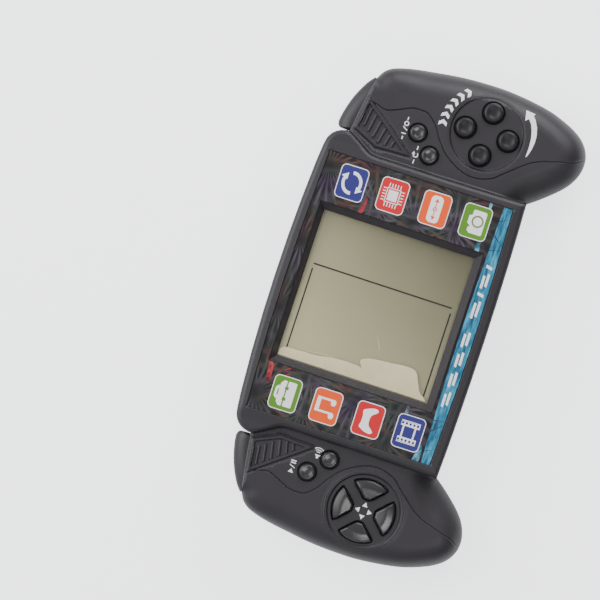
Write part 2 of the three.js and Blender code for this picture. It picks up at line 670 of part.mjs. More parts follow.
// ---------- cells and contacts ----------
// AA cell with its positive end to the right; it sits off centre, as the spring takes more room.
function cell(y) {
  const x0 = -CELL.offset - CELL.length / 2;
  const x1 = -CELL.offset + CELL.length / 2;
  return cylinderAlongX(x0, x1, y, CELL.z, CELL.radius, 24)
    .add(cylinderAlongX(x1 - 0.1, x1 + 1.2, y, CELL.z, 2.6, 14));
}

const CONTACT = { x: 30.5, thickness: 0.5, yNear: 2.6, yFar: 12.9 };
// Plate at the left end of the bay.
const contactPlate = (y0, y1) =>
  box(-CONTACT.x, y0, 5.2, -CONTACT.x + CONTACT.thickness, y1, 16.6);
// Round boss that meets a positive end, at the left end of the bay.
const contactBoss = (y) => cylinderAlongX(-30.1, -26.4, y, CELL.z, 2.4, 12);

// Conical coil that narrows away from its plate; direction is the sign of its run along X.
function contactSpring(direction, y) {
  const turns = 4.5;
  const length = 3.6;
  const points = [];
  for (let i = 0; i <= 45; i++) {
    const along = i / 45;
    const angle = along * turns * 2 * Math.PI;
    const radius = 4.4 - 1.9 * along;
    points.push(new THREE.Vector3(
      direction * (-CONTACT.x + 0.55 + length * along),
      y + radius * Math.cos(angle),
      CELL.z + radius * Math.sin(angle),
    ));
  }
  return sweep(new THREE.CatmullRomCurve3(points), 0.4, 4, 50);
}

const negativeContact = () =>
  contactPlate(CONTACT.yNear, CONTACT.yFar).add(contactSpring(1, CELL.y));
const positiveContact = () =>
  contactPlate(-CONTACT.yFar, -CONTACT.yNear).add(contactBoss(-CELL.y));
// Joins both cells at the right end.
const bridgeContact = () => mirrored(contactPlate(-CONTACT.yFar, CONTACT.yFar))
  .add(contactSpring(-1, -CELL.y))
  .add(cylinderAlongX(26.3, 30.1, CELL.y, CELL.z, 2.4, 12));

// ---------- assembly ----------
const root = new THREE.Group();
function add(name, solid, materialName) {
  const [color, roughness, metalness] = MATERIALS[materialName];
  const material = new THREE.MeshStandardMaterial({ color, roughness, metalness });
  const mesh = new THREE.Mesh(toGeometry(solid.translate([0, SHIFT_Y, 0])), material);
  mesh.name = name;
  root.add(mesh);
}

add("front_shell", frontShell(), "shell");
add("rear_shell", rearShell(), "shell");
add("battery_cover", batteryCover(), "shell");
add("printed_panel", printedPanel(), "panel");

add("window_lens", centredBox(31.6, 32.4, 25.6, 26.6), "lens");
add("protective_film", centredBox(WINDOW.x - 0.4, WINDOW.y - 0.4, 26.62, 26.77), "film");
add("lcd_front_polariser", centredBox(30.4, 30.6, 25.05, 25.3), "polariser");
add("lcd_glass", lcdGlass(), "glass");
add("lcd_rear_reflector", centredBox(30.8, 30.6, 22.45, 22.75), "reflector");
add("lcd_holder", lcdHolder(), "holder");
add("zebra_strip_upper", zebraStrip(), "zebra");
add("zebra_strip_lower", zebraStrip().mirror([0, 1, 0]), "zebra");

add("main_board", mainBoard(), "pcb");
add("left_key_board", mirrored(rightKeyBoard()), "pcb");
add("right_key_board", rightKeyBoard(), "pcb");
add("left_rubber_keypad", mirrored(rubberKeypad(WEDGE_PLUNGER_R)), "rubber");
add("right_rubber_keypad", rubberKeypad(ROTATE_PITCH_R), "rubber");
add("left_ribbon_cable", mirrored(ribbonCable()), "ribbon");
add("right_ribbon_cable", ribbonCable(), "ribbon");
add("chip_potting", chipPotting(), "epoxy");
add("filter_capacitor", filterCapacitor(), "wireBlack");
add("buzzer_disc", buzzerDisc(), "brass");

for (const [name, angle] of DIRECTIONS) add("direction_key_" + name, directionKey(angle), "key");
clusterPlaces(ROTATE_PITCH_R).forEach(([x, y], i) => {
  add("rotate_button_" + DIRECTIONS[i][0], roundKey(x, y, ROTATE_RADIUS, 0.7), "key");
});
const smallKeyNames = [
  ["power_button", 1, 0], ["reset_button", 1, 1],
  ["start_pause_button", -1, 0], ["sound_button", -1, 1],
]; // name, side, row of SMALL_KEYS
for (const [name, side, row] of smallKeyNames) {
  const [x, y] = SMALL_KEYS[row];
  add(name, roundKey(side * x, y, SMALL_RADIUS, 0.6), "key");
}
add("right_shoulder_key", shoulderKey(), "shell");
add("left_shoulder_key", mirrored(shoulderKey()), "shell");

add("battery_upper", cell(CELL.y), "cell");
add("battery_lower", mirrored(cell(-CELL.y)), "cell");
add("spring_contact_negative", negativeContact(), "steel");
add("plate_contact_positive", positiveContact(), "steel");
add("bridge_contact", bridgeContact(), "steel");

// Wire paths: rows of x, y, z.
const RED_PATH = [
  [-33.2, -7, 13], [-34.4, -2, 15], [-34.6, 8, 17.6], [-33.6, 20, 18.4], [-28, 26.5, 18.6],
];
const BLACK_PATH = [[-33.2, 8, 13], [-33.9, 14, 15.4], [-31, 22, 18.0], [-24, 24, 18.4]];
const BUZZER_PATH = [[4.2, 29.6, 4.9], [10, 32, 8], [19, 31.5, 14], [22, 29, 18.3]];
add("battery_wire_red", wire(RED_PATH, 0.55), "wireRed");
add("battery_wire_black", wire(BLACK_PATH, 0.55), "wireBlack");
add("buzzer_wire", wire(BUZZER_PATH, 0.5), "wireRed");

const CASE_SCREW = { length: 9, headRadius: 2.3, shankRadius: 1.2 };
const BOARD_SCREW = { length: 5.6, headRadius: 1.9, shankRadius: 0.95 };
const WING_SCREW = { ...BOARD_SCREW, length: 4.2 };
const screwSets = [
  ["case_screw_", CASE_SCREWS, 12.15, CASE_SCREW],
  ["board_screw_", BOARD_SCREWS, Z_BOARD - 0.05, BOARD_SCREW],
  ["key_board_screw_", WING_SCREWS, Z_BOARD - 0.05, WING_SCREW],
];
for (const [prefix, places, z, size] of screwSets) {
  places.forEach(([x, y], i) => {
    add(`${prefix}right_${i + 1}`, screw(x, y, z, size), "steel");
    add(`${prefix}left_${i + 1}`, screw(-x, y, z, size), "steel");
  });
}

export default root;
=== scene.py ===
"""Looks of a handheld LCD game with a grip at each end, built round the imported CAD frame.

The case lies on its back: +X towards the right grip, +Y towards the shoulder keys and +Z out of
the display. Arrays are in millimetres, with x and y from the display's centre; make() turns them
into metres in the frame. Most outlines describe the right half and are mirrored for the left.
"""
import bpy
import json
import math
import numpy as np
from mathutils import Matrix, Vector
from mathutils.geometry import delaunay_2d_cdt

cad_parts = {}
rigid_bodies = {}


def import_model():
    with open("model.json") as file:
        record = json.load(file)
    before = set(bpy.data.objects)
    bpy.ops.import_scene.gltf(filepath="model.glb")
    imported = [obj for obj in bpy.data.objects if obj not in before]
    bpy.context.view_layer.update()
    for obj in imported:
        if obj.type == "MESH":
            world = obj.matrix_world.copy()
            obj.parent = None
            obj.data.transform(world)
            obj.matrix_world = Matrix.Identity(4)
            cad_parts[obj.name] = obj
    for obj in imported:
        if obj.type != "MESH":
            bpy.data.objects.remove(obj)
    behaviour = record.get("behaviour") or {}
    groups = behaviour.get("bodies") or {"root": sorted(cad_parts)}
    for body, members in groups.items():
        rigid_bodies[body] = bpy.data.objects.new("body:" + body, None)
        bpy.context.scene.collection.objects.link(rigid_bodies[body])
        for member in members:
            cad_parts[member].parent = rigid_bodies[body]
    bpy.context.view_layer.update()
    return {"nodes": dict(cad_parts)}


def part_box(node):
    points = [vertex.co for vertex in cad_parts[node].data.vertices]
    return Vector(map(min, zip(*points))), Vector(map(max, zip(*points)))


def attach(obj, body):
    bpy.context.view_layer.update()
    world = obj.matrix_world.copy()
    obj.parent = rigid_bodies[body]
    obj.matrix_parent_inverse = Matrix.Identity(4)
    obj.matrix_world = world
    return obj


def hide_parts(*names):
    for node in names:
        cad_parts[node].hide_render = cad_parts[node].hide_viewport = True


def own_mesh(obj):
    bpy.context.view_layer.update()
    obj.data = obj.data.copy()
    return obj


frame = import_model()
lens_lo, lens_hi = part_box("window_lens")
CENTRE_Y = (lens_lo.y + lens_hi.y) / 2 * 1000.0

# ------------------------------------------------------------------ sizes and places
CASE = "case"
Z_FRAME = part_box("front_shell")[1].z * 1000.0  # the raised frame between the grips
Z_GRIP = Z_FRAME - 2.8
Z_PANEL_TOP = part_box("printed_panel")[1].z * 1000.0
Z_PANEL_SEAT = 29.2
Z_WINDOW_FOOT = 26.8
Z_SEAM_FRONT, Z_SEAM_REAR = 15.15, 15.0
Z_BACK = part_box("battery_cover")[0].z * 1000
SHELL_WALL = 1.9

Z_KEY_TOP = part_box("rotate_button_up")[1].z * 1000
Z_KEY_FLANGE = 24.4
PAD = np.array([73.334, -19.24])  # centre of the four keys on the right grip
PAD_LEFT = PAD * [-1, 1]
DISH_RADIUS = 14.06
TURN_KEYS = [(name, PAD + 8.288 * np.array(way)) for name, way in
             (("up", (0, 1)), ("left", (-1, 0)), ("right", (1, 0)), ("down", (0, -1)))]
DIRECTION_KEYS = [("up", math.pi / 2), ("left", math.pi), ("right", 0.0), ("down", -math.pi / 2)]
SMALL_KEYS = [(65.971, 5.106), (59.2, -1.48)]

# window opening: half width, lower y, upper y, at the bevel's foot and at its top
WINDOW_FOOT = (28.305, -29.23, 29.23)
WINDOW_TOP = (30.895, -31.894, 31.45)

# shoulder slot: its span in x
SLOT_X = (58.793, 81.252)

CASE_SCREWS = [(78.5, 13.2), (71.6, -44.2), (46.5, 29.2)]
DOOR_X, DOOR_Y = 31.0, 18.0  # battery cover: half width and upper y
DOOR_GAP = 0.3
BAY_X, BAY_Y, BAY_ROOF = 30.6, 16.6, 18.2  # half width, half length, roof height


# ------------------------------------------------------------------ plane geometry
def smoothstep(x, start, end):
    t = np.clip((x - start) / (end - start), 0, 1)
    return t * t * (3 - 2 * t)


def bell(x, width):
    return np.exp(-((x / width) ** 2))


def spline(points, step, closed=False):
    """Centripetal Catmull-Rom through the points, in steps of about `step`."""
    P = np.asarray(points, float)
    if closed:
        Q = np.vstack([P[-1], P, P[0], P[1]])
    else:
        Q = np.vstack([2 * P[0] - P[1], P, 2 * P[-1] - P[-2]])
    out = []
    for p0, p1, p2, p3 in zip(Q[:-3], Q[1:-2], Q[2:-1], Q[3:]):
        t01, t12, t23 = [max(np.linalg.norm(b - a) ** 0.5, 1e-6)
                         for a, b in ((p0, p1), (p1, p2), (p2, p3))]
        m1 = p2 - p1 + t12 * ((p1 - p0) / t01 - (p2 - p0) / (t01 + t12))
        m2 = p2 - p1 + t12 * ((p3 - p2) / t23 - (p3 - p1) / (t12 + t23))
        n = max(1, int(math.ceil(np.linalg.norm(p2 - p1) / step)))
        s = (np.arange(n) / n)[:, None]
        cubic, square = 2 * (p1 - p2) + m1 + m2, -3 * (p1 - p2) - 2 * m1 - m2
        out.append(cubic * s**3 + square * s**2 + m1 * s + p1)
    if not closed:
        out.append(P[-1:])
    return np.vstack(out)


def straight(points, step, closed=False):
    """Polyline through the points, cut into pieces no longer than `step`."""
    P = np.asarray(points, float)
    Q = np.vstack([P, P[:1]]) if closed else P
    out = []
    for a, b in zip(Q[:-1], Q[1:]):
        n = max(1, int(math.ceil(np.linalg.norm(b - a) / step)))
        out.append(a + (b - a) * (np.arange(n) / n)[:, None])
    if not closed:
        out.append(Q[-1:])
    return np.vstack(out)


def circle(centre, radius, count):
    t = np.arange(count) * 2 * math.pi / count
    return np.c_[centre[0] + radius * np.cos(t), centre[1] + radius * np.sin(t)]


def box(x0, y0, x1, y1):
    return [(x0, y0), (x1, y0), (x1, y1), (x0, y1)]


def round_box(x0, y0, x1, y1, radius, count=5):
    corners = ((x1 - radius, y0 + radius, -90), (x1 - radius, y1 - radius, 0),
               (x0 + radius, y1 - radius, 90), (x0 + radius, y0 + radius, 180))
    out = []
    for x, y, start in corners:
        for i in range(count + 1):
            t = math.radians(start + 90 * i / count)
            out.append((x + radius * math.cos(t), y + radius * math.sin(t)))
    return out


def ellipse(centre, rx, ry, count=28, start=0, end=360):
    t = np.radians(np.linspace(start, end, count, endpoint=end - start < 360))
    return [(centre[0] + rx * math.cos(v), centre[1] + ry * math.sin(v)) for v in t]


def arc_band(inner, outer, start, end, squash=1.0, count=22):
    rim = ellipse((0, 0), outer, outer * squash, count, start, end)
    return rim + ellipse((0, 0), inner, inner * squash, count, start, end)[::-1]


def symmetric(left, middle=()):
    """Left side's points, any middle ones, then the left side mirrored in reverse."""
    return left + list(middle) + [(-x, y) for x, y in left[::-1]]


def place(points, centre):
    return np.array(points, float) + centre


def rotated(points, angle):
    c, s = math.cos(angle), math.sin(angle)
    return [(x * c - y * s, x * s + y * c) for x, y in points]


def fillet(points, radius, count=5):
    """Rounds the corners of a closed polygon that turn by 25 degrees or more."""
    out = []
    for i, b in enumerate(points):
        u, v = points[i - 1] - b, points[(i + 1) % len(points)] - b
        lu, lv = np.linalg.norm(u), np.linalg.norm(v)
        turn = math.pi - math.acos(np.clip(u @ v / (lu * lv), -1, 1))
        if math.degrees(turn) < 25:
            out.append(b)
            continue
        cut = radius * math.tan(turn / 2)
        for length in (lu, lv):
            cut = min(cut, (0.8 if length > 2 * radius else 3) * length,
                      max(length, radius) * 0.95)
        p, q = b + u / lu * min(cut, lu * 0.95), b + v / lv * min(cut, lv * 0.95)
        for s in np.arange(count + 1) / count:
            out.append((1 - s) ** 2 * p + 2 * s * (1 - s) * b + s * s * q)
    return np.array(out)


def wedge(grow, angle, centre, corner):
    """Direction key outline: an outer arc, two diagonal sides and a blunt inner end."""
    outer, side, inner = 11.618 + grow, 2.405 - grow, 4.514 - grow
    half = math.pi / 4 - math.asin(side / outer)
    t = -half + 2 * half * np.arange(19) / 18
    y = inner - side * math.sqrt(2)
    arc = np.c_[outer * np.cos(t), outer * np.sin(t)]
    points = fillet(np.vstack([arc, [(inner, y)], [(inner, -y)]]), corner)
    return place(rotated(points, angle), centre)


def ccw(curve):
    """The closed curve, turned round if it runs clockwise."""
    x, y = curve.T
    area = 0.5 * float(np.sum(x * np.roll(y, -1) - np.roll(x, -1) * y))
    return curve if area > 0 else curve[::-1]


def offset(curve, step, closed=False):
    """The curve moved to its left by `step`."""
    t = np.roll(curve, -1, 0) - np.roll(curve, 1, 0) if closed else np.gradient(curve, axis=0)
    t /= np.linalg.norm(t, axis=1)[:, None] + 1e-12
    return curve + np.c_[-t[:, 1], t[:, 0]] * step


def inside(pts, curve):
    """Even-odd test of points against a closed polyline."""
    result = np.zeros(len(pts), bool)
    lo, hi = curve.min(0), curve.max(0)
    near = np.where(((pts >= lo) & (pts <= hi)).all(1))[0]
    x, y = pts[near].T
    odd = np.zeros(len(near), bool)
    for a, b in zip(curve, np.roll(curve, -1, 0)):
        if a[1] == b[1]:
            continue
        c = (a[1] > y) != (b[1] > y)
        odd[c] ^= x[c] < (b[0] - a[0]) * (y[c] - a[1]) / (b[1] - a[1]) + a[0]
    result[near] = odd
    return result


def dist(pts, curve, closed=False, reach=50.0, signed=False):
    """Distance to a polyline, no more than reach; signed gives left of it as positive."""
    squared = np.full(len(pts), float(reach * reach))
    sign = np.ones(len(pts))
    ring = np.vstack([curve, curve[:1]]) if closed else curve
    lo, hi = curve.min(0) - reach, curve.max(0) + reach
    near = np.where(((pts >= lo) & (pts <= hi)).all(1))[0]
    x, y = pts[near].T
    best, side = squared[near], sign[near]
    for a, b in zip(ring[:-1], ring[1:]):
        dx, dy = b - a
        length2 = dx * dx + dy * dy
        if length2 < 1e-14:
            continue
        ux, uy = x - a[0], y - a[1]
        t = np.clip((ux * dx + uy * dy) / length2, 0, 1)
        ex, ey = ux - t * dx, uy - t * dy
        e = ex * ex + ey * ey
        m = e < best
        best[m] = e[m]
        if signed:
            side[m] = np.where(dx * uy[m] - dy * ux[m] >= 0, 1.0, -1.0)
    squared[near], sign[near] = best, side
    return np.sqrt(squared) * sign if signed else np.sqrt(squared)


def dome(distance, width, drop, power=2.0):
    """Drop of a rounded edge at a distance from it."""
    t = np.clip(1 - distance / width, 0, 1)
    return drop * (1 - (1 - t**power) ** (1 / power))


# ------------------------------------------------------------------ outlines of the right half
# every table is (x, y)
# grip, from the frame's lower corner round the outside to the shoulder
GRIP_OUTER = [
    (53.465, -41.625), (56.24, -45.325), (59.2, -48.84), (62.9, -52.762), (66.23, -55.352),
    (69.93, -57.054), (73.445, -57.72), (76.96, -57.35), (80.29, -55.796), (83.065, -53.28),
    (85.47, -49.58), (87.394, -45.14), (89.096, -39.96), (90.28, -34.04), (91.168, -27.38),
    (91.649, -21.09), (91.649, -14.8), (91.39, -8.14), (90.798, -1.85), (89.91, 4.44),
    (88.874, 11.1), (87.542, 17.02), (85.84, 21.645), (83.805, 24.161), (81.4, 25.604)]
# along the shoulder key, back to the frame
GRIP_TOP = [(81.4, 25.604), (77.7, 26.455), (74, 27.121), (66.6, 28.342), (59.2, 29.304)]
FRAME_TOP = [
    (0, 39.22), (14.8, 39.072), (29.6, 38.591), (44.4, 37.74), (51.06, 37.148),
    (53.65, 36.63), (55.5, 35.742), (56.98, 34.41), (58.09, 32.56), (58.756, 30.155)]
FRAME_SIDE = [
    (58.756, 30.155), (58.386, 28.564), (55.5, 23.495), (53.354, 19.758), (52.91, 17.76),
    (52.873, 7.4), (52.91, -7.4), (53.132, -25.9), (53.465, -41.255)]
FRAME_BOTTOM = [(53.465, -41.255), (44.4, -41.662), (29.6, -42.032), (14.8, -42.254),
                (0, -42.328)]
# S-shaped crease down the grip's face, from top to bottom
CREASE_POINTS = [
    (71.78, 25.16), (71.41, 22.94), (70.485, 19.98), (70.485, 18.5), (71.521, 15.54),
    (73.001, 12.284), (74.111, 9.694), (74.37, 6.401), (74, 3.774), (72.15, 1.184),
    (69.56, -1.11), (66.6, -2.96), (64.75, -4.44), (62.16, -6.66), (59.681, -10.064),
    (57.905, -13.394), (56.795, -16.65), (56.61, -19.98), (57.276, -23.384), (58.756, -26.714),
    (60.68, -28.86), (63.27, -31.82), (65.86, -34.78), (68.154, -37.74), (70.041, -41.44),
    (71.188, -45.14), (72.335, -48.84), (73.482, -52.91), (75.739, -56.61)]
PANEL_HALF = np.array([
    (0, 35.15), (18.5, 34.965), (37, 34.41), (49.654, 33.818),
    (49.654, -37.148), (37, -37.592), (18.5, -38.147), (0, -38.332)])
# grille beside the shoulder key
GRILLE = np.array([(60.495, 28.194), (73.075, 26.344), (56.684, 5.365), (56.092, 18.5)])
# its slats: start, end, half width
SLATS = [
    ((63.455, 26.64), (70.3, 26.011), 0.407), ((62.715, 24.864), (69.005, 24.124), 0.629),
    ((61.235, 22.792), (67.155, 21.83), 0.629), ((59.644, 20.498), (65.416, 19.388), 0.629),
    ((58.312, 18.056), (63.492, 17.02), 0.629), ((58.053, 15.503), (61.642, 14.652), 0.629),
    ((58.016, 13.061), (59.94, 12.432), 0.592)]

TOP_LINE = np.vstack([straight(FRAME_TOP[:5], 1.6)[:-1], spline(FRAME_TOP[4:], 0.5)])
SIDE_LINE = spline(FRAME_SIDE, 0.7)
BOTTOM_LINE = straight(FRAME_BOTTOM, 1.6)
BOTTOM_OUTWARD = BOTTOM_LINE[::-1]  # the same, from the centre line to the right
# from the top middle clockwise round to the bottom middle
FRAME_LINE = np.vstack([TOP_LINE[:-1], SIDE_LINE[:-1], BOTTOM_LINE])
SIDE_FOOT = SIDE_LINE[2:-1]

SHOULDER_CORNER = [(58.645, 29.674)]
grip_top = spline(GRIP_TOP, 0.8)
GRIP_SIDE = spline(GRIP_OUTER, 0.7)
GRIP_EDGE = np.vstack([GRIP_SIDE[:-1], grip_top, SHOULDER_CORNER])
TOP_EDGE = np.vstack([grip_top, SHOULDER_CORNER])
# anticlockwise from the bottom middle, round the grip and back along the top
HALF = np.vstack([BOTTOM_OUTWARD, GRIP_EDGE, TOP_LINE[::-1]])
CREASE = spline(CREASE_POINTS, 0.6)

# the panel's recess, a little larger than the panel
RECESS = PANEL_HALF + [(0, 0.15)] * 3 + [0, 0] if False else PANEL_HALF + np.array(
    [(0, 0.15)] * 3 + [(0.15, 0.15), (0.15, -0.15)] + [(0, -0.15)] * 3)
RIM_LINE = np.vstack([straight(RECESS[:4], 1.5)[:-1], straight(RECESS[3:5], 1.5)[:-1],
                      straight(RECESS[4:], 1.5)])


# ------------------------------------------------------------------ front face height
def grip_z(pts, direction_pad):
    """Height of the right grip's face; the left one mirrors it, with rings round its dish."""
    x, y = pts.T
    to_edge = dist(pts, GRIP_SIDE, reach=16)
    to_top = dist(pts, TOP_EDGE, reach=4)
    frameward = -dist(pts, CREASE, reach=25, signed=True)  # positive towards the frame
    tip = 1 - smoothstep(y, -49.95, -33.3)
    shoulder = smoothstep(y, 6.66, 26.64)
    low = 1 - smoothstep(y, -41.44, -24.42)
    low_frameward = low * smoothstep(frameward, 0, 6)
    width = (10.0 + 1.0 * tip + 3.0 * low_frameward) * (1 - shoulder) + 6.0 * shoulder
    drop = (8.6 + 1.4 * tip - 1.6 * low_frameward) * (1 - shoulder) + 5.0 * shoulder
    z = Z_GRIP - np.maximum(dome(to_edge, width, drop, 2.15), dome(to_top, 1.3, 1.3))
    # slight crown across the grip, and a fall from the crease towards the frame low down
    z -= 0.00022 * ((x - 72) ** 2) * (1 - 0.5 * shoulder)
    z -= low * 0.17 * np.clip(frameward, 0, 40) * smoothstep(np.abs(frameward), 0, 1.2)
    # crease: the part towards the frame is a little lower, behind a groove
    z -= 0.34 * smoothstep(frameward, -0.10, 0.30)
    z -= 0.42 * bell(frameward - 0.08, 0.19)
    # grille: a groove round a raised border, and a sunken field with slats
    to_border = dist(pts, GRILLE, closed=True, reach=3)
    depth = np.where(inside(pts, GRILLE), to_border, -to_border)
    z -= 0.32 * bell(depth + 0.34, 0.26)
    z += 0.30 * smoothstep(depth, 0.0, 0.35) - 0.64 * smoothstep(depth, 1.05, 1.40)
    field = depth > 0.8
    slats = np.zeros(field.sum())
    for start, end, half_width in SLATS:
        across = dist(pts[field], np.array([start, end]), reach=3) / half_width
        slats = np.maximum(slats, 0.66 * np.clip(1 - across**2.2, 0, 1) ** 0.55)
    z[field] += slats
    # dished disc with a fine groove round it
    radius = np.hypot(x - PAD[0], y - PAD[1])
    floor_z = np.minimum(Z_GRIP - 0.80, z - 0.34)
    t = smoothstep(DISH_RADIUS - radius, 0.0, 0.85)
    z = z * (1 - t) + floor_z * t
    z -= 0.12 * bell(radius - DISH_RADIUS - 0.05, 0.16)
    if direction_pad:
        for ring, depth in zip(PAD_RINGS, (0.09, 0.07)):
            z -= depth * bell(radius - ring, 0.16)
    return z


PAD_RINGS = (15.022, 15.762)  # radii of the two fine grooves round the direction keys


def frame_z(pts):
    """Height of the raised frame, the panel's seat and the window surround."""
    x, y = pts.T
    z = Z_FRAME - dome(dist(pts, FRAME_LINE, reach=3.0), 1.9, 1.6)
    to_rim = dist(pts, RIM_LINE, reach=4.5)
    recess = inside(pts + np.array([1e-7, 0]), RIM_LINE)
    lip = Z_FRAME - 0.3
    seat = lip + (Z_PANEL_SEAT - lip) * np.clip(to_rim / 0.1, 0, 1)
    border = z - dome(to_rim, 0.32, 0.3) - 0.11 * np.clip(to_rim - 0.2, 0, 4)
    z = np.where(recess, seat, border)
    # window surround: a step up to its edge, then a bevel down into the window
    top = Z_PANEL_TOP - 0.06
    (fx, fy0, fy1), (tx, ty0, ty1) = WINDOW_FOOT, WINDOW_TOP
    along_x = (tx - np.abs(x)) / (tx - fx)
    along_y = np.where(y > 0, (ty1 - y) / (ty1 - fy1), (y - ty0) / (fy0 - ty0))
    bevel = np.clip(np.minimum(along_x, along_y), 0, 1)
    within = np.minimum(tx - np.abs(x), np.where(y > 0, ty1 - y, y - ty0))
    step = Z_PANEL_SEAT + (top - Z_PANEL_SEAT) * np.clip(1 + within / 0.12, 0, 1)
    z = np.where(recess & (within < 0), step, z)
    return np.where(within >= 0, top - bevel * (top - Z_WINDOW_FOOT), z)


def front_z(pts, direction_pad):
    in_frame = inside(pts + np.array([1e-7, 0]), FRAME_LINE) | (pts[:, 0] < 50)
    z = np.empty(len(pts))
    z[in_frame] = frame_z(pts[in_frame])
    # grips, with a small fillet at the foot of the frame
    grip = pts[~in_frame]
    away = dist(grip, FRAME_LINE, reach=3.0)
    grip_height = grip_z(grip, direction_pad) + 0.55 * np.clip(1 - away / 0.9, 0, 1) ** 2
    t = np.clip(away / 0.14, 0, 1)
    z[~in_frame] = (Z_FRAME - 1.6) * (1 - t) + grip_height * t
    return z


# ------------------------------------------------------------------ meshing of height fields
class Plan:
    """Points and fixed edges in the plane, ready for triangulation."""

    def __init__(self):
        self.parts, self.edges, self.count = [], [], 0

    def line(self, curve, closed=False):
        last = self.count + len(curve) - 1
        self.edges += [(i, i + 1) for i in range(self.count, last)]
        if closed:
            self.edges.append((last, self.count))
        self.loose(curve)

    def loose(self, points):
        self.parts.append(points)
        self.count += len(points)


def offset_rows(curve, steps, domain, closed=False, sides=(1,)):
    """Rows beside a curve, kept inside the domain and not nearer to another part of it."""
    out = []
    for step in [d * side for d in steps for side in sides]:
        row = offset(curve, step, closed)
        row = row[inside(row, domain)]
        out.append(row[dist(row, curve, closed, reach=abs(step) + 1) > abs(step) * 0.94])
    return np.vstack(out)


def hole_rows(holes, steps):
    """Rows outside each hole's rim."""
    return [offset(hole, -d, True) for hole in holes for d in steps]


def thin(points, taken, cell):
    """Drops points that fall in or next to a cell that already holds a point."""
    used = {(int(a), int(b)) for a, b in np.floor(taken / cell)}
    free = [not any((a + i, b + j) in used for i in (-1, 0, 1) for j in (-1, 0, 1))
            for a, b in np.floor(points / cell).astype(int)]
    return points[np.array(free, bool)]


def hexgrid(lo, hi, pitch):
    xs = np.arange(lo[0], hi[0], pitch)
    ys = np.arange(lo[1], hi[1], pitch * 0.866)
    X, Y = np.meshgrid(xs, ys)
    X = X + (np.arange(len(ys)) % 2)[:, None] * pitch / 2
    return np.c_[X.ravel(), Y.ravel()]


def grid_in(outline, pitch, margin=0.0):
    grid = hexgrid(outline.min(0), outline.max(0), pitch)
    grid = grid[inside(grid, outline)]
    return grid[dist(grid, outline, closed=True, reach=2) >= margin]


def clear_of(points, holes):
    for hole in holes:
        points = points[~inside(points, hole)]
    return points


def trim_rows(rows, holes):
    """Keeps the points in the half outline, off its edge, and outside the holes."""
    rows = rows[inside(rows, HALF) & (rows[:, 0] > 0.02)]
    rows = clear_of(rows, holes)
    return rows[dist(rows, HALF, closed=True, reach=1) > 0.04]


def fill_half(plan, rows, middle_y, pitch, start_x, gap, holes):
    """Adds points on the centre line, the rows, and a grid clear of rows and lines."""
    lo, hi = HALF.min(0), HALF.max(0)
    grid = clear_of(hexgrid((start_x, lo[1]), hi, pitch), holes)
    grid = grid[inside(grid, HALF)]
    grid = thin(grid, np.vstack([rows] + plan.parts), gap)
    plan.loose(np.array([(0.0, y) for y in middle_y]))
    plan.loose(rows)
    plan.loose(grid)


def triangulate(plan, outline, holes=()):
    points = [Vector((float(a), float(b))) for a, b in np.vstack(plan.parts)]
    result = delaunay_2d_cdt(points, plan.edges, [], 0, 1e-5, False)
    P = np.array([tuple(v) for v in result[0]])
    T = np.array([f for f in result[2] if len(f) == 3])
    middle = P[T].mean(1)
    keep = inside(middle, outline)
    for hole in holes:
        keep &= ~inside(middle, hole)
    T = T[keep]
    (ax, ay), (bx, by) = (P[T[:, 1]] - P[T[:, 0]]).T, (P[T[:, 2]] - P[T[:, 0]]).T
    area = ax * by - bx * ay
    T, area = T[np.abs(area) > 1e-7], area[np.abs(area) > 1e-7]
    T[area < 0] = T[area < 0][:, ::-1]
    used = np.unique(T)
    renumber = np.full(len(P), -1)
    renumber[used] = np.arange(len(used))
    return P[used], renumber[T]


def field_mesh(P, T, height, up=1.0, pull=0.2, delta=0.012):
    """Vertices, faces and one normal per face corner of z = height(points)."""
    # slopes are taken a little inside each face, so that a crease stays sharp
    corners = P[T] * (1 - pull) + P[T].mean(1)[:, None, :] * pull
    corners = corners.reshape(-1, 2)
    dx, dy = np.array([delta, 0]), np.array([0, delta])
    slope_x = (height(corners + dx) - height(corners - dx)) / (2 * delta)
    slope_y = (height(corners + dy) - height(corners - dy)) / (2 * delta)
    N = np.c_[-slope_x, -slope_y, np.ones(len(corners))] * up
    N /= np.linalg.norm(N, axis=1)[:, None]
    if up < 0:
        T = T[:, ::-1]
        N = N.reshape(-1, 3, 3)[:, ::-1].reshape(-1, 3)
    return np.c_[P, height(P)], T, N


def boundary(P, T):
    """Directed edges of one triangle only, surface on their left, off the centre line."""
    E = np.vstack([T[:, [0, 1]], T[:, [1, 2]], T[:, [2, 0]]]).tolist()
    known = {tuple(e) for e in E}
    B = np.array([e for e in E if (e[1], e[0]) not in known])
    return B[~(np.abs(P[B, 0]) < 1e-5).all(1)]


def edge_normals(P, B):
    """Outward normals at each edge's two ends, smoothed where the line turns gently."""
    d = P[B[:, 1]] - P[B[:, 0]]
    d /= np.linalg.norm(d, axis=1)[:, None] + 1e-12
    n = np.c_[d[:, 1], -d[:, 0]]
    starts = {int(b[0]): i for i, b in enumerate(B)}
    ends = {int(b[1]): i for i, b in enumerate(B)}
    at_a, at_b = n.copy(), n.copy()
    for i, (a, b) in enumerate(B.tolist()):
        for out, j in ((at_a, ends.get(a)), (at_b, starts.get(b))):
            if j is not None and n[i] @ n[j] > 0.82:
                out[i] = n[i] + n[j]
    at_a /= np.linalg.norm(at_a, axis=1)[:, None]
    at_b /= np.linalg.norm(at_b, axis=1)[:, None]
    flat = np.zeros(len(B))
    return np.c_[at_a, flat], np.c_[at_b, flat]


def at_height(points, z):
    return np.c_[points[:, :2], np.full(len(points), z)]


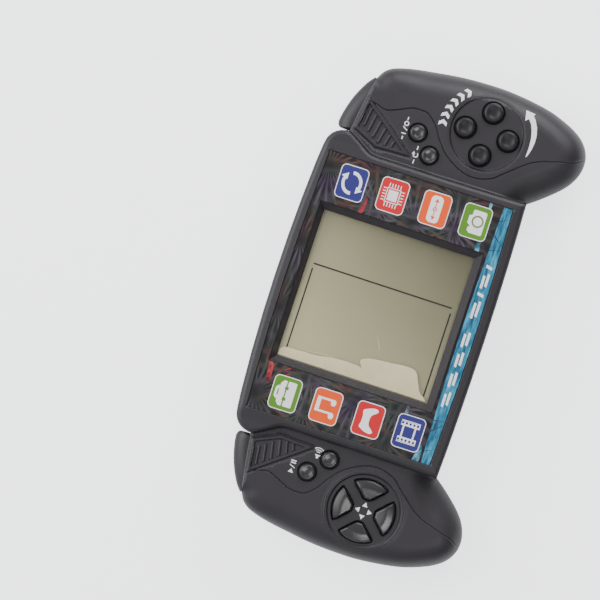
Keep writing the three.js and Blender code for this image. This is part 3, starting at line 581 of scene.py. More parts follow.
def make(name, verts, faces, mats, body, node=None, normals=None, indices=None):
    """Mesh object in metres that rides on a body and stands in for a CAD node."""
    mesh = bpy.data.meshes.new(name)
    mesh.from_pydata(((np.asarray(verts, float) + [0, CENTRE_Y, 0]) * 0.001).tolist(), [], faces)
    for mat in mats:
        mesh.materials.append(mat)
    if indices is not None:
        mesh.polygons.foreach_set("material_index", np.array(indices, dtype=np.int32))
    mesh.polygons.foreach_set("use_smooth", np.ones(len(faces), bool))
    mesh.update()
    if normals is not None:
        mesh.normals_split_custom_set(normals.tolist())
    ob = bpy.data.objects.new(name, mesh)
    bpy.context.scene.collection.objects.link(ob)
    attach(ob, body)
    if node:
        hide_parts(node)
    return ob


class Surface:
    """Collects faces with a normal per corner and a material number per face."""

    def __init__(self):
        self.verts, self.faces, self.normals, self.mats, self.count = [], [], [], [], 0

    def add(self, verts, faces, normals, mats=0):
        self.verts.append(verts)
        self.faces += (faces + self.count).tolist()
        self.normals.append(normals)
        self.mats += np.broadcast_to(mats, len(faces)).tolist()
        self.count += len(verts)

    def flat(self, P, T, z, up):
        """Level face over the triangles, at one height or one per point."""
        normals = np.tile([0.0, 0.0, up], (len(T) * 3, 1))
        self.add(np.c_[P, np.broadcast_to(z, len(P))], T if up > 0 else T[:, ::-1], normals)

    def quads(self, corners, normals):
        faces = np.arange(len(corners[0]))[:, None] * 4 + np.arange(4)
        self.add(np.stack(corners, 1).reshape(-1, 3), faces,
                 np.stack(normals, 1).reshape(-1, 3))

    def face(self, points, normal):
        self.quads([np.array([p], float) for p in points], [np.array([normal], float)] * 4)

    def block(self, x0, y0, z0, x1, y1, z1):
        c = [(x, y, z) for z in (z0, z1) for x, y in box(x0, y0, x1, y1)]
        for corners, normal in (((0, 3, 2, 1), (0, 0, -1)), ((4, 5, 6, 7), (0, 0, 1)),
                                ((0, 1, 5, 4), (0, -1, 0)), ((1, 2, 6, 5), (1, 0, 0)),
                                ((2, 3, 7, 6), (0, 1, 0)), ((3, 0, 4, 7), (-1, 0, 0))):
            self.face([c[i] for i in corners], normal)

    def skirt(self, verts, edges, low, depth=0.0, up=1.0):
        """Wall from the edges to height low, then a level rim running inwards by depth.

        low is one number, one per edge, or two rows for the edges' starts and ends.
        """
        order = (0, 1, 2, 3) if up > 0 else (0, 3, 2, 1)
        na, nb = edge_normals(verts[:, :2], edges)
        a, b = verts[edges[:, 0]], verts[edges[:, 1]]
        low_a, low_b = np.broadcast_to(low, (2, len(edges)))
        foot_a, foot_b = np.c_[a[:, :2], low_a], np.c_[b[:, :2], low_b]
        wall, normals = (a, foot_a, foot_b, b), (na, na, nb, nb)
        self.quads([wall[i] for i in order], [normals[i] for i in order])
        if depth:
            rim = (foot_a, foot_a - na * depth, foot_b - nb * depth, foot_b)
            level = np.tile([0.0, 0.0, -up], (len(edges), 1))
            self.quads([rim[i] for i in order], [level] * 4)

    def mirrored(self):
        other = Surface()
        other.verts = [v * [-1, 1, 1] for v in self.verts]
        other.faces = [f[::-1] for f in self.faces]
        normals = np.vstack(self.normals) * [-1, 1, 1]
        start = 0
        for f in self.faces:
            other.normals.append(normals[start:start + len(f)][::-1])
            start += len(f)
        other.mats, other.count = list(self.mats), self.count
        return other

    def join(self, other):
        self.faces += [[i + self.count for i in f] for f in other.faces]
        self.verts += other.verts
        self.normals += other.normals
        self.mats += other.mats
        self.count += other.count

    def make(self, name, mats, body, slot, node=None):
        return make(name, np.vstack(self.verts), self.faces, mats, body, node,
                    np.vstack(self.normals), self.mats)


# ------------------------------------------------------------------ materials
def srgb(*rgb):
    levels = [c / 255 for c in rgb]
    return tuple(c / 12.92 if c <= 0.04045 else ((c + 0.055) / 1.055) ** 2.4
                 for c in levels) + (1.0,)


def scaled(colour, factor, add=0.0):
    return tuple(min(1, v * factor + add) for v in colour[:3]) + (1,)


BLACK, FULL = (0, 0, 0, 1), (1, 1, 1, 1)  # ends of a mask


class Nodes:
    """Small helper round a material's node tree."""

    def __init__(self, name):
        self.mat = bpy.data.materials.new(name)
        self.mat.use_nodes = True
        self.tree = self.mat.node_tree
        self.tree.nodes.clear()
        self.out = self.new("ShaderNodeOutputMaterial")
        self.position = self.new("ShaderNodeTexCoord").outputs["Object"]

    def new(self, kind, **settings):
        node = self.tree.nodes.new(kind)
        for key, value in settings.items():
            setattr(node, key, value)
        return node

    def put(self, socket, value):
        if isinstance(value, bpy.types.NodeSocket):
            self.tree.links.new(value, socket)
        else:
            socket.default_value = value

    def xyz(self):
        node = self.new("ShaderNodeSeparateXYZ")
        self.put(node.inputs[0], self.position)
        return node.outputs

    def noise(self, scale, detail=2.0, rough=0.5, vector=None):
        node = self.new("ShaderNodeTexNoise")
        self.put(node.inputs["Vector"], vector or self.position)
        self.put(node.inputs["Scale"], scale)
        self.put(node.inputs["Detail"], detail)
        self.put(node.inputs["Roughness"], rough)
        return node.outputs[0]

    def math(self, operation, a, b=0.0, clamp=False):
        node = self.new("ShaderNodeMath", operation=operation, use_clamp=clamp)
        self.put(node.inputs[0], a)
        self.put(node.inputs[1], b)
        return node.outputs[0]

    def scale_add(self, value, factor, add):
        return self.math("ADD", self.math("MULTIPLY", value, factor), add)

    def ramp(self, factor, stops):
        node = self.new("ShaderNodeValToRGB")
        elements = node.color_ramp.elements
        while len(elements) < len(stops):
            elements.new(0.5)
        for element, (position, colour) in zip(elements, stops):
            element.position = position
            element.color = colour
        self.put(node.inputs[0], factor)
        return node.outputs["Color"]

    def mix(self, factor, a, b):
        node = self.new("ShaderNodeMix", data_type="RGBA", blend_type="MIX")
        self.put(node.inputs[0], factor)
        self.put(node.inputs[6], a)
        self.put(node.inputs[7], b)
        return node.outputs[2]

    def mix_shader(self, factor, a, b):
        node = self.new("ShaderNodeMixShader")
        for socket, value in zip(node.inputs, (factor, a, b)):
            self.put(socket, value)
        return node.outputs[0]

    def bump(self, height, strength, distance):
        node = self.new("ShaderNodeBump")
        self.put(node.inputs["Strength"], strength)
        self.put(node.inputs["Distance"], distance)
        self.put(node.inputs["Height"], height)
        return node.outputs["Normal"]

    def principled(self, **values):
        node = self.new("ShaderNodeBsdfPrincipled")
        for key, value in values.items():
            self.put(node.inputs[key.replace("_", " ")], value)
        self.put(self.out.inputs[0], node.outputs[0])
        return node.outputs[0]


def plastic(name, colour, rough=0.45, grain=3200, grain_height=0.000012, specular=0.5,
            rough_range=0.06, wear=0.35):
    """Moulded plastic: fine grain, slow roughness changes, edges rubbed a little lighter."""
    mat = Nodes(name)
    slow = mat.noise(55, detail=3)
    fine = mat.noise(grain, detail=2, rough=0.6)
    dust = mat.noise(900, detail=4, rough=0.7)
    pointiness = mat.new("ShaderNodeNewGeometry").outputs["Pointiness"]
    edge = mat.ramp(pointiness, [(0.515, BLACK), (0.60, FULL)])
    base = mat.mix(slow, scaled(colour, 0.88), scaled(colour, 1.12))
    base = mat.mix(mat.math("MULTIPLY", edge, wear), base, scaled(colour, 2.2, 0.01))
    dusty = mat.math("MULTIPLY", mat.math("SUBTRACT", dust, 0.5), rough_range)
    mat.principled(
        Base_Color=base, Specular_IOR_Level=specular, Coat_Weight=0.0, Coat_Roughness=0.12,
        Roughness=mat.math("ADD", mat.scale_add(slow, rough_range, rough - rough_range / 2),
                           dusty),
        Normal=mat.bump(fine, strength=0.5, distance=grain_height))
    return mat.mat


def ink(name, colour, rough=0.4, variation=0.08):
    """Printed ink: slight unevenness of the screen print."""
    mat = Nodes(name)
    uneven = mat.noise(420, detail=4, rough=0.65)
    mat.principled(
        Base_Color=mat.mix(uneven, scaled(colour, 1 - variation), scaled(colour, 1 + variation)),
        Roughness=mat.scale_add(uneven, 0.1, rough), Coat_Weight=0.25, Coat_Roughness=0.18,
        Normal=mat.bump(mat.noise(5200), strength=0.3, distance=0.000004))
    return mat.mat


M_SHELL = plastic("shell_black", srgb(43, 40, 44), rough=0.44, grain=2600, wear=0.12)
M_REAR = plastic("shell_black_rear", srgb(42, 39, 43), rough=0.48, grain=2600,
                 grain_height=0.000018, wear=0.12)
KEY_FINISH = dict(grain=5200, grain_height=0.000003, rough_range=0.05, wear=0.1)
M_KEY = plastic("key_black", srgb(28, 27, 29), rough=0.33, specular=0.6, **KEY_FINISH)
M_TURN = plastic("turn_key_black", srgb(30, 29, 31), rough=0.40, specular=0.4, **KEY_FINISH)
M_WHITE_PRINT = ink("print_white", srgb(250, 250, 252), rough=0.45, variation=0.02)


# ------------------------------------------------------------------ front shell
FRAME_STEPS = (0.05, 0.16, 0.35, 0.65, 1.05, 1.5, 1.95)  # rows inside the frame's edge
RIM_STEPS = (-0.1, 0.08, 0.2, 0.34)  # rows beside the panel's recess, outside positive


def key_holes(direction_pad):
    if direction_pad:
        holes = [wedge(0.45, angle, PAD, corner=0.9) for _, angle in DIRECTION_KEYS]
    else:
        holes = [circle(centre, 4.2, 44) for _, centre in TURN_KEYS]
    return holes + [circle(centre, 3.6, 40) for centre in SMALL_KEYS]


def edge_kinds(P, B):
    """Middles of the boundary edges, which are on the case's outline, which on its slot."""
    middle = (P[B[:, 0]] + P[B[:, 1]]) / 2
    outer = dist(middle, HALF, closed=True, reach=1) < 0.02
    slot = outer & (dist(middle, TOP_EDGE, reach=1) < 0.05)
    slot &= (middle[:, 0] > SLOT_X[0]) & (middle[:, 0] < SLOT_X[1])
    return middle, outer, slot


def window_rectangle(size, grow=0.0):
    half_width, low, high = size
    x, y0, y1 = half_width + grow, low - grow, high + grow
    return np.array([(0, y0), (x, y0), (x, y1), (0, y1)])


def front_rows(direction_pad, holes):
    """Rows that give rounded edges and grooves enough points."""
    grip_steps = (0.08, 0.25, 0.5, 0.9, 1.4, 2.1, 3.0, 4.2, 5.6, 7.2, 9.0)
    rows = [offset_rows(GRIP_EDGE, grip_steps, HALF),
            offset_rows(FRAME_LINE, FRAME_STEPS, HALF, sides=(-1,)),
            offset_rows(SIDE_FOOT, (0.35, 0.6, 0.95), HALF),
            offset_rows(RIM_LINE, RIM_STEPS, HALF)]
    rows += hole_rows(holes, (0.07, 0.18, 0.34, 0.62))
    radii = [DISH_RADIUS + d for d in (0.25, 0.05, -0.12, -0.3, -0.5, -0.7, -0.9)]
    if direction_pad:
        radii += [ring + d for ring in PAD_RINGS for d in (-0.2, 0, 0.2)]
    rows += [circle(PAD, radius, 132) for radius in radii]
    crease_steps = (-0.9, -0.45, -0.2, -0.08, 0.05, 0.18, 0.32, 0.6, 1.1)
    rows += [offset(CREASE, d) for d in crease_steps]
    grille = hexgrid(GRILLE.min(0) - 0.6, GRILLE.max(0) + 0.6, 0.25)
    near = (dist(grille, GRILLE, closed=True, reach=1) < 0.5) | inside(grille, GRILLE)
    rows = trim_rows(np.vstack(rows + [grille[near]]), holes)
    return rows[dist(rows, SIDE_FOOT, reach=1) > 0.03]


def front_half(direction_pad):
    holes = key_holes(direction_pad)
    window = window_rectangle(WINDOW_FOOT)

    def height(pts):
        z = front_z(pts, direction_pad)
        for hole in holes:
            z = z - dome(dist(pts, hole, closed=True, reach=0.5), 0.34, 0.3)
        return z

    plan = Plan()
    for curve in [HALF] + holes:
        plan.line(curve, closed=True)
    plan.line(straight(window, 3.0))
    plan.line(SIDE_FOOT)
    plan.line(offset(SIDE_FOOT, 0.14))
    plan.line(RIM_LINE)
    plan.line(straight(window_rectangle(WINDOW_TOP), 3.0))
    plan.line(straight(window_rectangle(WINDOW_TOP, grow=0.12), 3.0))
    for i in (1, 2):
        plan.line(np.array([(WINDOW_FOOT[0], WINDOW_FOOT[i]), (WINDOW_TOP[0], WINDOW_TOP[i])]))
    top, bottom = TOP_LINE[0, 1], BOTTOM_LINE[-1, 1]
    middle_y = [top - d for d in FRAME_STEPS] + [bottom + d for d in FRAME_STEPS]
    middle_y += [RIM_LINE[0, 1] + d for d in RIM_STEPS]
    middle_y += [RIM_LINE[-1, 1] - d for d in RIM_STEPS]
    fill_half(plan, front_rows(direction_pad, holes), middle_y,
              pitch=0.95, start_x=0.4, gap=0.42, holes=holes + [RIM_LINE])

    P, T = triangulate(plan, HALF, holes + [window])
    verts, faces, normals = field_mesh(P, T, height)
    surface = Surface()
    surface.add(verts, faces, normals)
    B = boundary(P, T)
    middle, outer, slot = edge_kinds(P, B)
    at_window = dist(middle, window, reach=1) < 0.02
    surface.skirt(verts, B[outer], np.where(slot[outer], 21.3, Z_SEAM_FRONT), depth=SHELL_WALL)
    surface.skirt(verts, B[at_window], 26.3)
    surface.skirt(verts, B[~outer & ~at_window], 24.7)
    # tongue set in from the outline, across the seam
    tongue = B[outer & ~slot]
    na, nb = edge_normals(P, tongue)
    a, b = verts[tongue[:, 0]] - na * 1.0, verts[tongue[:, 1]] - nb * 1.0
    surface.quads([at_height(a, 15.6), at_height(a, 14.4), at_height(b, 14.4),
                   at_height(b, 15.6)], [na, na, nb, nb])
    return surface


front = front_half(False)
front.join(front_half(True).mirrored())
front.make("front_shell_skin", [M_SHELL], CASE, "shell", "front_shell")


# ------------------------------------------------------------------ face keys
def revolve(profile, centre, count=56):
    """Closed solid of revolution; the profile runs from the axis at the top to the axis below."""
    verts, faces, rings = [], [], []
    turns = [2 * math.pi * i / count for i in range(count)]
    for radius, z in profile:
        start = len(verts)
        if radius < 1e-9:
            verts.append((centre[0], centre[1], z))
        else:
            verts += [(centre[0] + radius * math.cos(t), centre[1] + radius * math.sin(t), z)
                      for t in turns]
        rings.append(list(range(start, len(verts))))
    for A, B in zip(rings[:-1], rings[1:]):
        for i in range(count):
            j = (i + 1) % count
            if len(A) == 1:
                faces.append([A[0], B[i], B[j]])
            elif len(B) == 1:
                faces.append([A[i], B[0], A[j]])
            else:
                faces.append([A[i], B[i], B[j], A[j]])
    return verts, faces


def make_turned(name, profile, centre, mat, body, node=None, count=56, sharp=50):
    verts, faces = revolve(profile, centre, count)
    ob = make(name, verts, faces, [mat], body, node)
    ob.data.set_sharp_from_angle(angle=math.radians(sharp))
    return ob


# dished caps: radius, height above the cap's top
TURN_PROFILE = [
    (0, -0.44), (0.4, -0.435), (0.8, -0.415), (1.15, -0.375), (1.45, -0.31), (1.75, -0.22),
    (2.0, -0.135), (2.2, -0.075), (2.4, -0.03), (2.6, -0.005), (2.75, -0.01), (2.9, -0.045),
    (3.05, -0.105), (3.2, -0.195), (3.35, -0.33), (3.5, -0.53), (3.62, -0.78), (3.72, -1.12),
    (3.78, -1.55), (3.8, -2.1)]
SMALL_PROFILE = [
    (0, -0.43), (0.34, -0.425), (0.67, -0.405), (0.97, -0.365), (1.22, -0.3), (1.47, -0.215),
    (1.68, -0.132), (1.85, -0.072), (2.02, -0.028), (2.19, -0.005), (2.32, -0.01),
    (2.44, -0.045), (2.57, -0.105), (2.69, -0.19), (2.82, -0.32), (2.95, -0.51), (3.05, -0.75),
    (3.13, -1.08), (3.18, -1.5), (3.2, -2.0)]


def flanged(profile, top, flange):
    """The cap's profile, carried down to a flange and a stub underneath."""
    radius, z = profile[-1][0], Z_KEY_FLANGE
    return [(r, top + height) for r, height in profile] + [
        (radius, z + 0.02), (radius, z), (radius + flange, z), (radius + flange, z - 1),
        (1.6, z - 1), (1.6, z - 1.2), (0, z - 1.2)]


for way, centre in TURN_KEYS:
    make_turned("turn_key_cap_" + way, flanged(TURN_PROFILE, Z_KEY_TOP, 0.7), centre, M_TURN,
                "rotate_button_" + way, "rotate_button_" + way)
SMALL_NAMES = {1: ("power_button", "reset_button"), -1: ("start_pause_button", "sound_button")}
for side, names in SMALL_NAMES.items():
    for name, (x, y) in zip(names, SMALL_KEYS):
        make_turned(name + "_cap", flanged(SMALL_PROFILE, Z_KEY_TOP - 0.05, 0.6),
                    (side * x, y), M_KEY, name, name)


def direction_key(angle):
    """Wedge key that falls away either side of an arc across it, with a rounded rim."""
    outline = wedge(0.0, angle, PAD_LEFT, corner=0.75)
    z_low = Z_KEY_FLANGE - 1.0

    def height(pts):
        x, y = (pts - PAD_LEFT).T
        along = x * math.cos(angle) + y * math.sin(angle)
        across = -x * math.sin(angle) + y * math.cos(angle)
        s = np.hypot(along, across * 0.9) - 8.6
        z = 28.68 - (0.03 * s + 0.29 * (np.sqrt(s * s + 0.7**2) - 0.7)) - 0.010 * across**2
        return z - dome(dist(pts, outline, closed=True, reach=2), 0.75, 0.62)

    plan = Plan()
    plan.line(outline, closed=True)
    rows = offset_rows(outline, (0.05, 0.15, 0.3, 0.5, 0.75), outline, closed=True)
    plan.loose(rows)
    plan.loose(thin(grid_in(outline, 0.4, margin=0.1), np.vstack([rows, outline]), 0.4 * 0.45))
    P, T = triangulate(plan, outline)
    verts, faces, normals = field_mesh(P, T, height)
    surface = Surface()
    surface.add(verts, faces, normals)
    surface.skirt(verts, boundary(P, T), z_low)
    surface.flat(P, T, z_low, up=-1.0)
    return surface


for way, angle in DIRECTION_KEYS:
    node = "direction_key_" + way
    direction_key(angle).make("direction_key_cap_" + way, [M_KEY], node, "key", node)


# ------------------------------------------------------------------ printed panel
def flat_piece(name, outline, holes, shapes, z0, z1, mats, slot, node=None, closed=False):
    """Sheet with crisp regions: shapes are painted in order, each (outline, material number)."""
    outline, shapes = ccw(outline), [(ccw(shape), number) for shape, number in shapes]
    plan = Plan()
    for curve in [outline] + holes + [shape for shape, _ in shapes]:
        plan.line(curve, closed=True)
    P, T = triangulate(plan, outline, holes)
    middle = P[T].mean(1)
    numbers = np.zeros(len(T), int)
    for shape, number in shapes:
        numbers[inside(middle, shape)] = number
    surface = Surface()
    verts = at_height(P, z1)
    surface.add(verts, T, np.tile([0.0, 0.0, 1.0], (len(T) * 3, 1)), numbers)
    surface.skirt(verts, boundary(P, T), z0)
    if closed:
        surface.flat(P, T, z0, up=-1.0)
    return surface.make(name, mats, CASE, slot, node)


# material numbers of the panel; 0 is its dark ground
(GREEN, ORANGE, RED, BLUE, WHITE, BAND, BAR_BLUE, BAR_RED, SCRATCH, OLIVE,
 BAR_GREY) = range(1, 12)

# tile artwork about each tile's centre, painted in order
TOOLBOX = [
    (symmetric([(-2.664, 2.294), (-2.442, 3.256), (-1.554, 3.996)]), WHITE),
    (symmetric([(-1.406, 2.294), (-1.11, 3.108)]), GREEN),
    (symmetric([(-4.736, 0.37), (-4.736, 1.554), (-3.478, 2.59)]), WHITE),
    (round_box(-4.736, -3.404, 4.736, -0.148, 0.296), WHITE),
    (round_box(-2.664, -0.74, -1.443, 0.666, 0.259), GREEN),
    (round_box(1.443, -0.74, 2.664, 0.666, 0.259), GREEN)]
MUSIC = [
    (box(-2.442, 2.368, 3.182, 3.848), WHITE), (box(-2.442, -2.59, -1.665, 2.96), WHITE),
    (box(2.405, -2.294, 3.182, 2.96), WHITE),
    (ellipse((-2.812, -2.664), 1.221, 0.999), WHITE),
    (ellipse((2.035, -2.368), 1.221, 0.999), WHITE)]
GAMEPAD = [(spline([
    (-3.071, 2.701), (-1.48, 2.405), (1.332, 2.405), (2.997, 2.701), (3.922, 1.258),
    (4.662, -1.11), (4.551, -2.442), (3.811, -2.812), (2.849, -1.887), (1.702, -0.666),
    (-1.776, -0.666), (-3.108, -1.998), (-4.033, -2.775), (-4.773, -2.072), (-4.514, 0.222),
    (-3.774, 1.813)], 0.444, closed=True), WHITE)]
FILM_STRIP = [
    (box(-4.218, -3.552, -2.072, 3.626), WHITE), (box(2.072, -3.552, 4.218, 3.626), WHITE),
    (box(-2.072, 2.146, 2.072, 2.775), WHITE), (box(-2.072, -2.368, 2.072, -1.739), WHITE)]
FILM_STRIP += [(round_box(x - 0.444, y - 0.4255, x + 0.444, y + 0.4255, 0.148, 2), BLUE)
               for x in (-3.145, 3.145) for y in (3.071, 1.628, 0.185, -1.258, -2.701)]
FILM_STRIP += [(box(-3.959, -3.552, -3.811, 3.626), BLUE), (box(3.811, -3.552, 3.959, 3.626), BLUE)]
SYNC = [
    (arc_band(3.182, 4.44, 68, 188, squash=0.86), WHITE),
    ([(1.924, 4.514), (3.478, 2.072), (0.888, 2.072)], WHITE),
    (arc_band(3.182, 4.44, 248, 368, squash=0.86), WHITE),
    ([(-1.924, -4.514), (-3.478, -2.072), (-0.888, -2.072)], WHITE)]
CHIP = [(box(-x, -y, x, y), colour) for x, y, colour in
        ((2.812, 2.664, WHITE), (2.479, 2.331, RED), (1.998, 1.85, WHITE))]
LEG = 0.1665  # half width of the chip's legs
for q in (-2.22, -1.11, 0, 1.11, 2.22):
    CHIP += [(box(q - LEG, 2.886, q + LEG, 4.07), WHITE),
             (box(q - LEG, -4.07, q + LEG, -2.886), WHITE),
             (box(3.034, q * 0.95 - LEG, 4.44, q * 0.95 + LEG), WHITE),
             (box(-4.44, q * 0.95 - LEG, -3.034, q * 0.95 + LEG), WHITE)]
LINK = [
    (round_box(-5.106, -2.294, 5.106, 2.294, 1.628), WHITE),
    (box(-2.775, -0.185, 2.775, 0.185), ORANGE),
    ([(-4.144, 0), (-2.664, 0.851), (-2.664, -0.851)], ORANGE),
    ([(4.144, 0), (2.664, -0.851), (2.664, 0.851)], ORANGE),
    (ellipse((0, 0), 0.814, 0.814, 18), ORANGE), (ellipse((0, 0), 0.37, 0.37, 12), WHITE)]
CAMERA = [
    (round_box(-4.44, -3.478, 4.44, 1.702, 0.592), WHITE),
    ([(-1.702, 1.554), (-1.036, 2.812), (1.924, 2.812), (2.442, 1.554)], WHITE),
    (round_box(-3.848, 1.554, -2.294, 2.257, 0.185, 2), WHITE),
    (ellipse((0.333, -0.777), 2.294, 2.294, 34), OLIVE),
    (ellipse((0.333, -0.777), 1.628, 1.628, 28), WHITE)]
TILE_X = 40.811
TILE_ROWS = [  # y, then colour and artwork of the left and of the right tile
    (22.2, (GREEN, TOOLBOX), (BLUE, SYNC)), (6.401, (ORANGE, MUSIC), (RED, CHIP)),
    (-9.99, (RED, GAMEPAD), (ORANGE, LINK)), (-25.641, (BLUE, FILM_STRIP), (GREEN, CAMERA))]
TILE_TURN = math.radians(0.55)  # the tiles are turned a little on the panel

STREAKS = [
    ([(-38.85, 30.155), (-31.08, 31.154), (-29.785, 30.858), (-31.82, 29.23), (-37, 28.564),
      (-39.59, 29.082)], BAR_RED),
    ([(-34.484, 27.084), (-34.04, 27.306), (-30.34, 21.238), (-30.784, 21.016)], BAR_RED),
    ([(-35.705, 25.16), (-35.409, 25.308), (-32.745, 21.534), (-33.041, 21.386)], BAR_RED),
    ([(29.785, 17.242), (33.3, 16.798), (35.89, 16.058), (37.185, 15.318), (34.78, 15.022),
      (31.08, 15.614), (29.785, 16.058)], BAR_RED),
    ([(-49.617, -30.118), (-44.03, -31.228), (-43.105, -31.968), (-44.77, -32.634),
      (-49.617, -32.782)], BAR_BLUE),
    ([(30.34, -27.972), (34.04, -28.268), (34.41, -29.452), (30.34, -29.97)], BAR_BLUE),
    ([(47.36, -28.342), (49.617, -28.194), (49.617, -29.452), (47.36, -29.304)], BAR_BLUE),
    ([(-34.262, -22.274), (-30.71, -22.644), (-30.562, -23.532), (-34.262, -23.68)], BAR_GREY)]
BAND_TOP = symmetric([(-49.617, -33.744), (-37, -33.374), (-18.5, -32.93)], [(0, -32.782)])
BAND_FOOT = symmetric([(-49.617, -36.963), (-37, -37.407), (-18.5, -37.962)], [(0, -38.147)])
BAND_SCRATCHES = [  # top, foot, half width at the top
    ((-37.555, -33.448), (-34.04, -37.444), 0.296), ((-33.3, -33.263), (-32.634, -37.518), 0.1665),
    ((38.48, -33.522), (35.335, -37.444), 0.296), ((32.745, -33.263), (33.855, -37.555), 0.1665),
    ((-45.14, -33.633), (-43.475, -37.185), 0.148), ((44.03, -33.633), (45.695, -37.111), 0.148)]
BAND_BLOCKS = [  # left x, width
    (-28.046, 6.882), (-20.313, 6.882), (-12.58, 6.882), (-4.847, 6.882), (6.364, 7.77),
    (15.244, 1.702), (17.982, 6.734), (25.826, 1.702)]
BLOCK_Y = (-36.593, -34.225)
BLOCK_SLANT, BLOCK_GAP, BLOCK_NOTCH = 0.592, 0.555, 1.332


def band_block(x, width):
    """Slanted block; a wide one is split in two bars, notched at opposite ends."""
    y0, y1 = BLOCK_Y
    run = width - BLOCK_SLANT
    if width <= 3.7:
        return [[(x, y0), (x + run, y0), (x + width, y1), (x + BLOCK_SLANT, y1)]]
    bars = []
    height = (y1 - y0 - BLOCK_GAP) / 2
    for k, (left, right) in enumerate(((BLOCK_NOTCH, 0.0), (0.0, BLOCK_NOTCH))):
        foot = y0 + k * (height + BLOCK_GAP)
        low, high = [BLOCK_SLANT * (y - y0) / (y1 - y0) for y in (foot, foot + height)]
        bars.append([(x + low + left, foot), (x + run + low - right, foot),
                     (x + run + high - right, foot + height), (x + high + left, foot + height)])
    return bars


def panel_shapes():
    shapes = STREAKS + [(BAND_TOP + BAND_FOOT[::-1], BAND)]
    for (ax, ay), (bx, by), width in BAND_SCRATCHES:
        shapes.append(([(ax - width, ay), (ax + width, ay), (bx + width * 0.3, by),
                        (bx - width * 0.3, by)], SCRATCH))
    for x, width in BAND_BLOCKS:
        shapes += [(bar, WHITE) for bar in band_block(x, width)]
    for column, x in ((1, -TILE_X), (2, TILE_X)):
        for row in TILE_ROWS:
            colour, art = row[column]
            tile = [(round_box(-6.401, -5.328, 6.401, 5.328, 1.85), WHITE),
                    (round_box(-6.1124, -5.0394, 6.1124, 5.0394, 1.628), colour)] + art
            shapes += [(rotated(place(shape, (x, row[0])), TILE_TURN), n) for shape, n in tile]
    return [(np.array(shape, float), number) for shape, number in shapes]


# petal-shaped sheen: centre x and y, radius in metres, petal number, phase
SHEENS = [
    (-43.66, 32.56, 0.034, 17, 0.3), (-31.82, 14.8, 0.028, 15, 1.1),
    (-45.14, 13.32, 0.020, 13, 2.0), (-34.41, -3.7, 0.026, 19, 0.5),
    (-45.88, -17.76, 0.022, 15, 1.6), (-33.3, -19.24, 0.022, 17, 2.3),
    (43.66, 32.56, 0.028, 19, 0.9), (34.78, 11.1, 0.024, 15, 0.2),
    (46.62, 14.06, 0.026, 17, 1.3), (34.04, -2.96, 0.026, 15, 2.2),
    (46.62, -17.76, 0.022, 19, 0.7), (35.52, -18.5, 0.022, 13, 1.9),
    (-11.1, 34.04, 0.022, 21, 0.1), (14.8, 34.04, 0.022, 17, 1.2)]


def panel_ground():
    """Glossy black film with faint petal-shaped sheen round several centres."""
    mat = Nodes("panel_film")
    mul = lambda a, b, **kw: mat.math("MULTIPLY", a, b, **kw)
    x, y, _ = mat.xyz()
    wobble = mat.noise(60, detail=3)
    total = None
    for cx, cy, reach, petals, phase in SHEENS:
        dx = mat.math("SUBTRACT", x, cx * 0.001)
        dy = mat.math("SUBTRACT", y, (cy + CENTRE_Y) * 0.001)
        angle = mat.math("ADD", mat.math("ARCTAN2", dy, dx), mul(wobble, 0.34))
        radius = mat.math("SQRT", mat.math("ADD", mul(dx, dx), mul(dy, dy)))
        wave = mat.math("SINE", mat.scale_add(angle, petals * 0.5 + 3, phase))
        petal = mat.math("POWER", mat.math("ABSOLUTE", wave), 4.0)
        fall = mat.math("SUBTRACT", 1.0, mat.math("DIVIDE", radius, reach), clamp=True)
        core = mul(mat.math("DIVIDE", radius, reach * 0.25), 1.0, clamp=True)
        sheen = mul(mul(petal, fall), core)
        total = sheen if total is None else mat.math("MAXIMUM", total, sheen)
    tint = mat.ramp(mat.noise(70), [
        (0.30, srgb(84, 68, 98)), (0.42, srgb(108, 100, 108)), (0.50, srgb(74, 86, 78)),
        (0.58, srgb(108, 88, 78)), (0.66, srgb(104, 66, 68)), (0.76, srgb(64, 76, 104))])
    ground = mat.mix(mat.noise(38, detail=4), srgb(10, 8, 12), srgb(26, 22, 27))
    mat.principled(
        Base_Color=mat.mix(mul(total, 1.0, clamp=True), ground, tint),
        Roughness=mat.math("SUBTRACT", 0.30, mul(total, 0.08)), Metallic=mul(total, 0.35),
        Specular_IOR_Level=0.4, Coat_Weight=0.25, Coat_Roughness=0.14,
        Normal=mat.bump(mat.noise(2600), strength=0.25, distance=0.000004))
    return mat.mat


def band_blue():
    """Blue band with slanting brushed streaks."""
    mat = Nodes("panel_band_blue")
    mapping = mat.new("ShaderNodeMapping")
    mapping.inputs["Rotation"].default_value = (0, 0, math.radians(38))
    mapping.inputs["Scale"].default_value = (1, 6, 1)
    mat.put(mapping.inputs["Vector"], mat.position)
    streaks = mat.noise(150, detail=3, rough=0.6, vector=mapping.outputs[0])
    colour = mat.ramp(streaks, [(0.30, srgb(8, 52, 74)), (0.46, srgb(18, 100, 134)),
                                (0.60, srgb(42, 142, 174)), (0.78, srgb(108, 190, 212))])
    mat.principled(Base_Color=colour, Roughness=0.32, Coat_Weight=0.4, Coat_Roughness=0.14)
    return mat.mat


def streak(name, dark, light):
    """Blotchy print of two tones."""
    mat = Nodes(name)
    blotch = mat.ramp(mat.noise(330, detail=4, rough=0.7), [(0.40, BLACK), (0.62, FULL)])
    mat.principled(Base_Color=mat.mix(blotch, dark, light), Roughness=0.34, Coat_Weight=0.3)
    return mat.mat


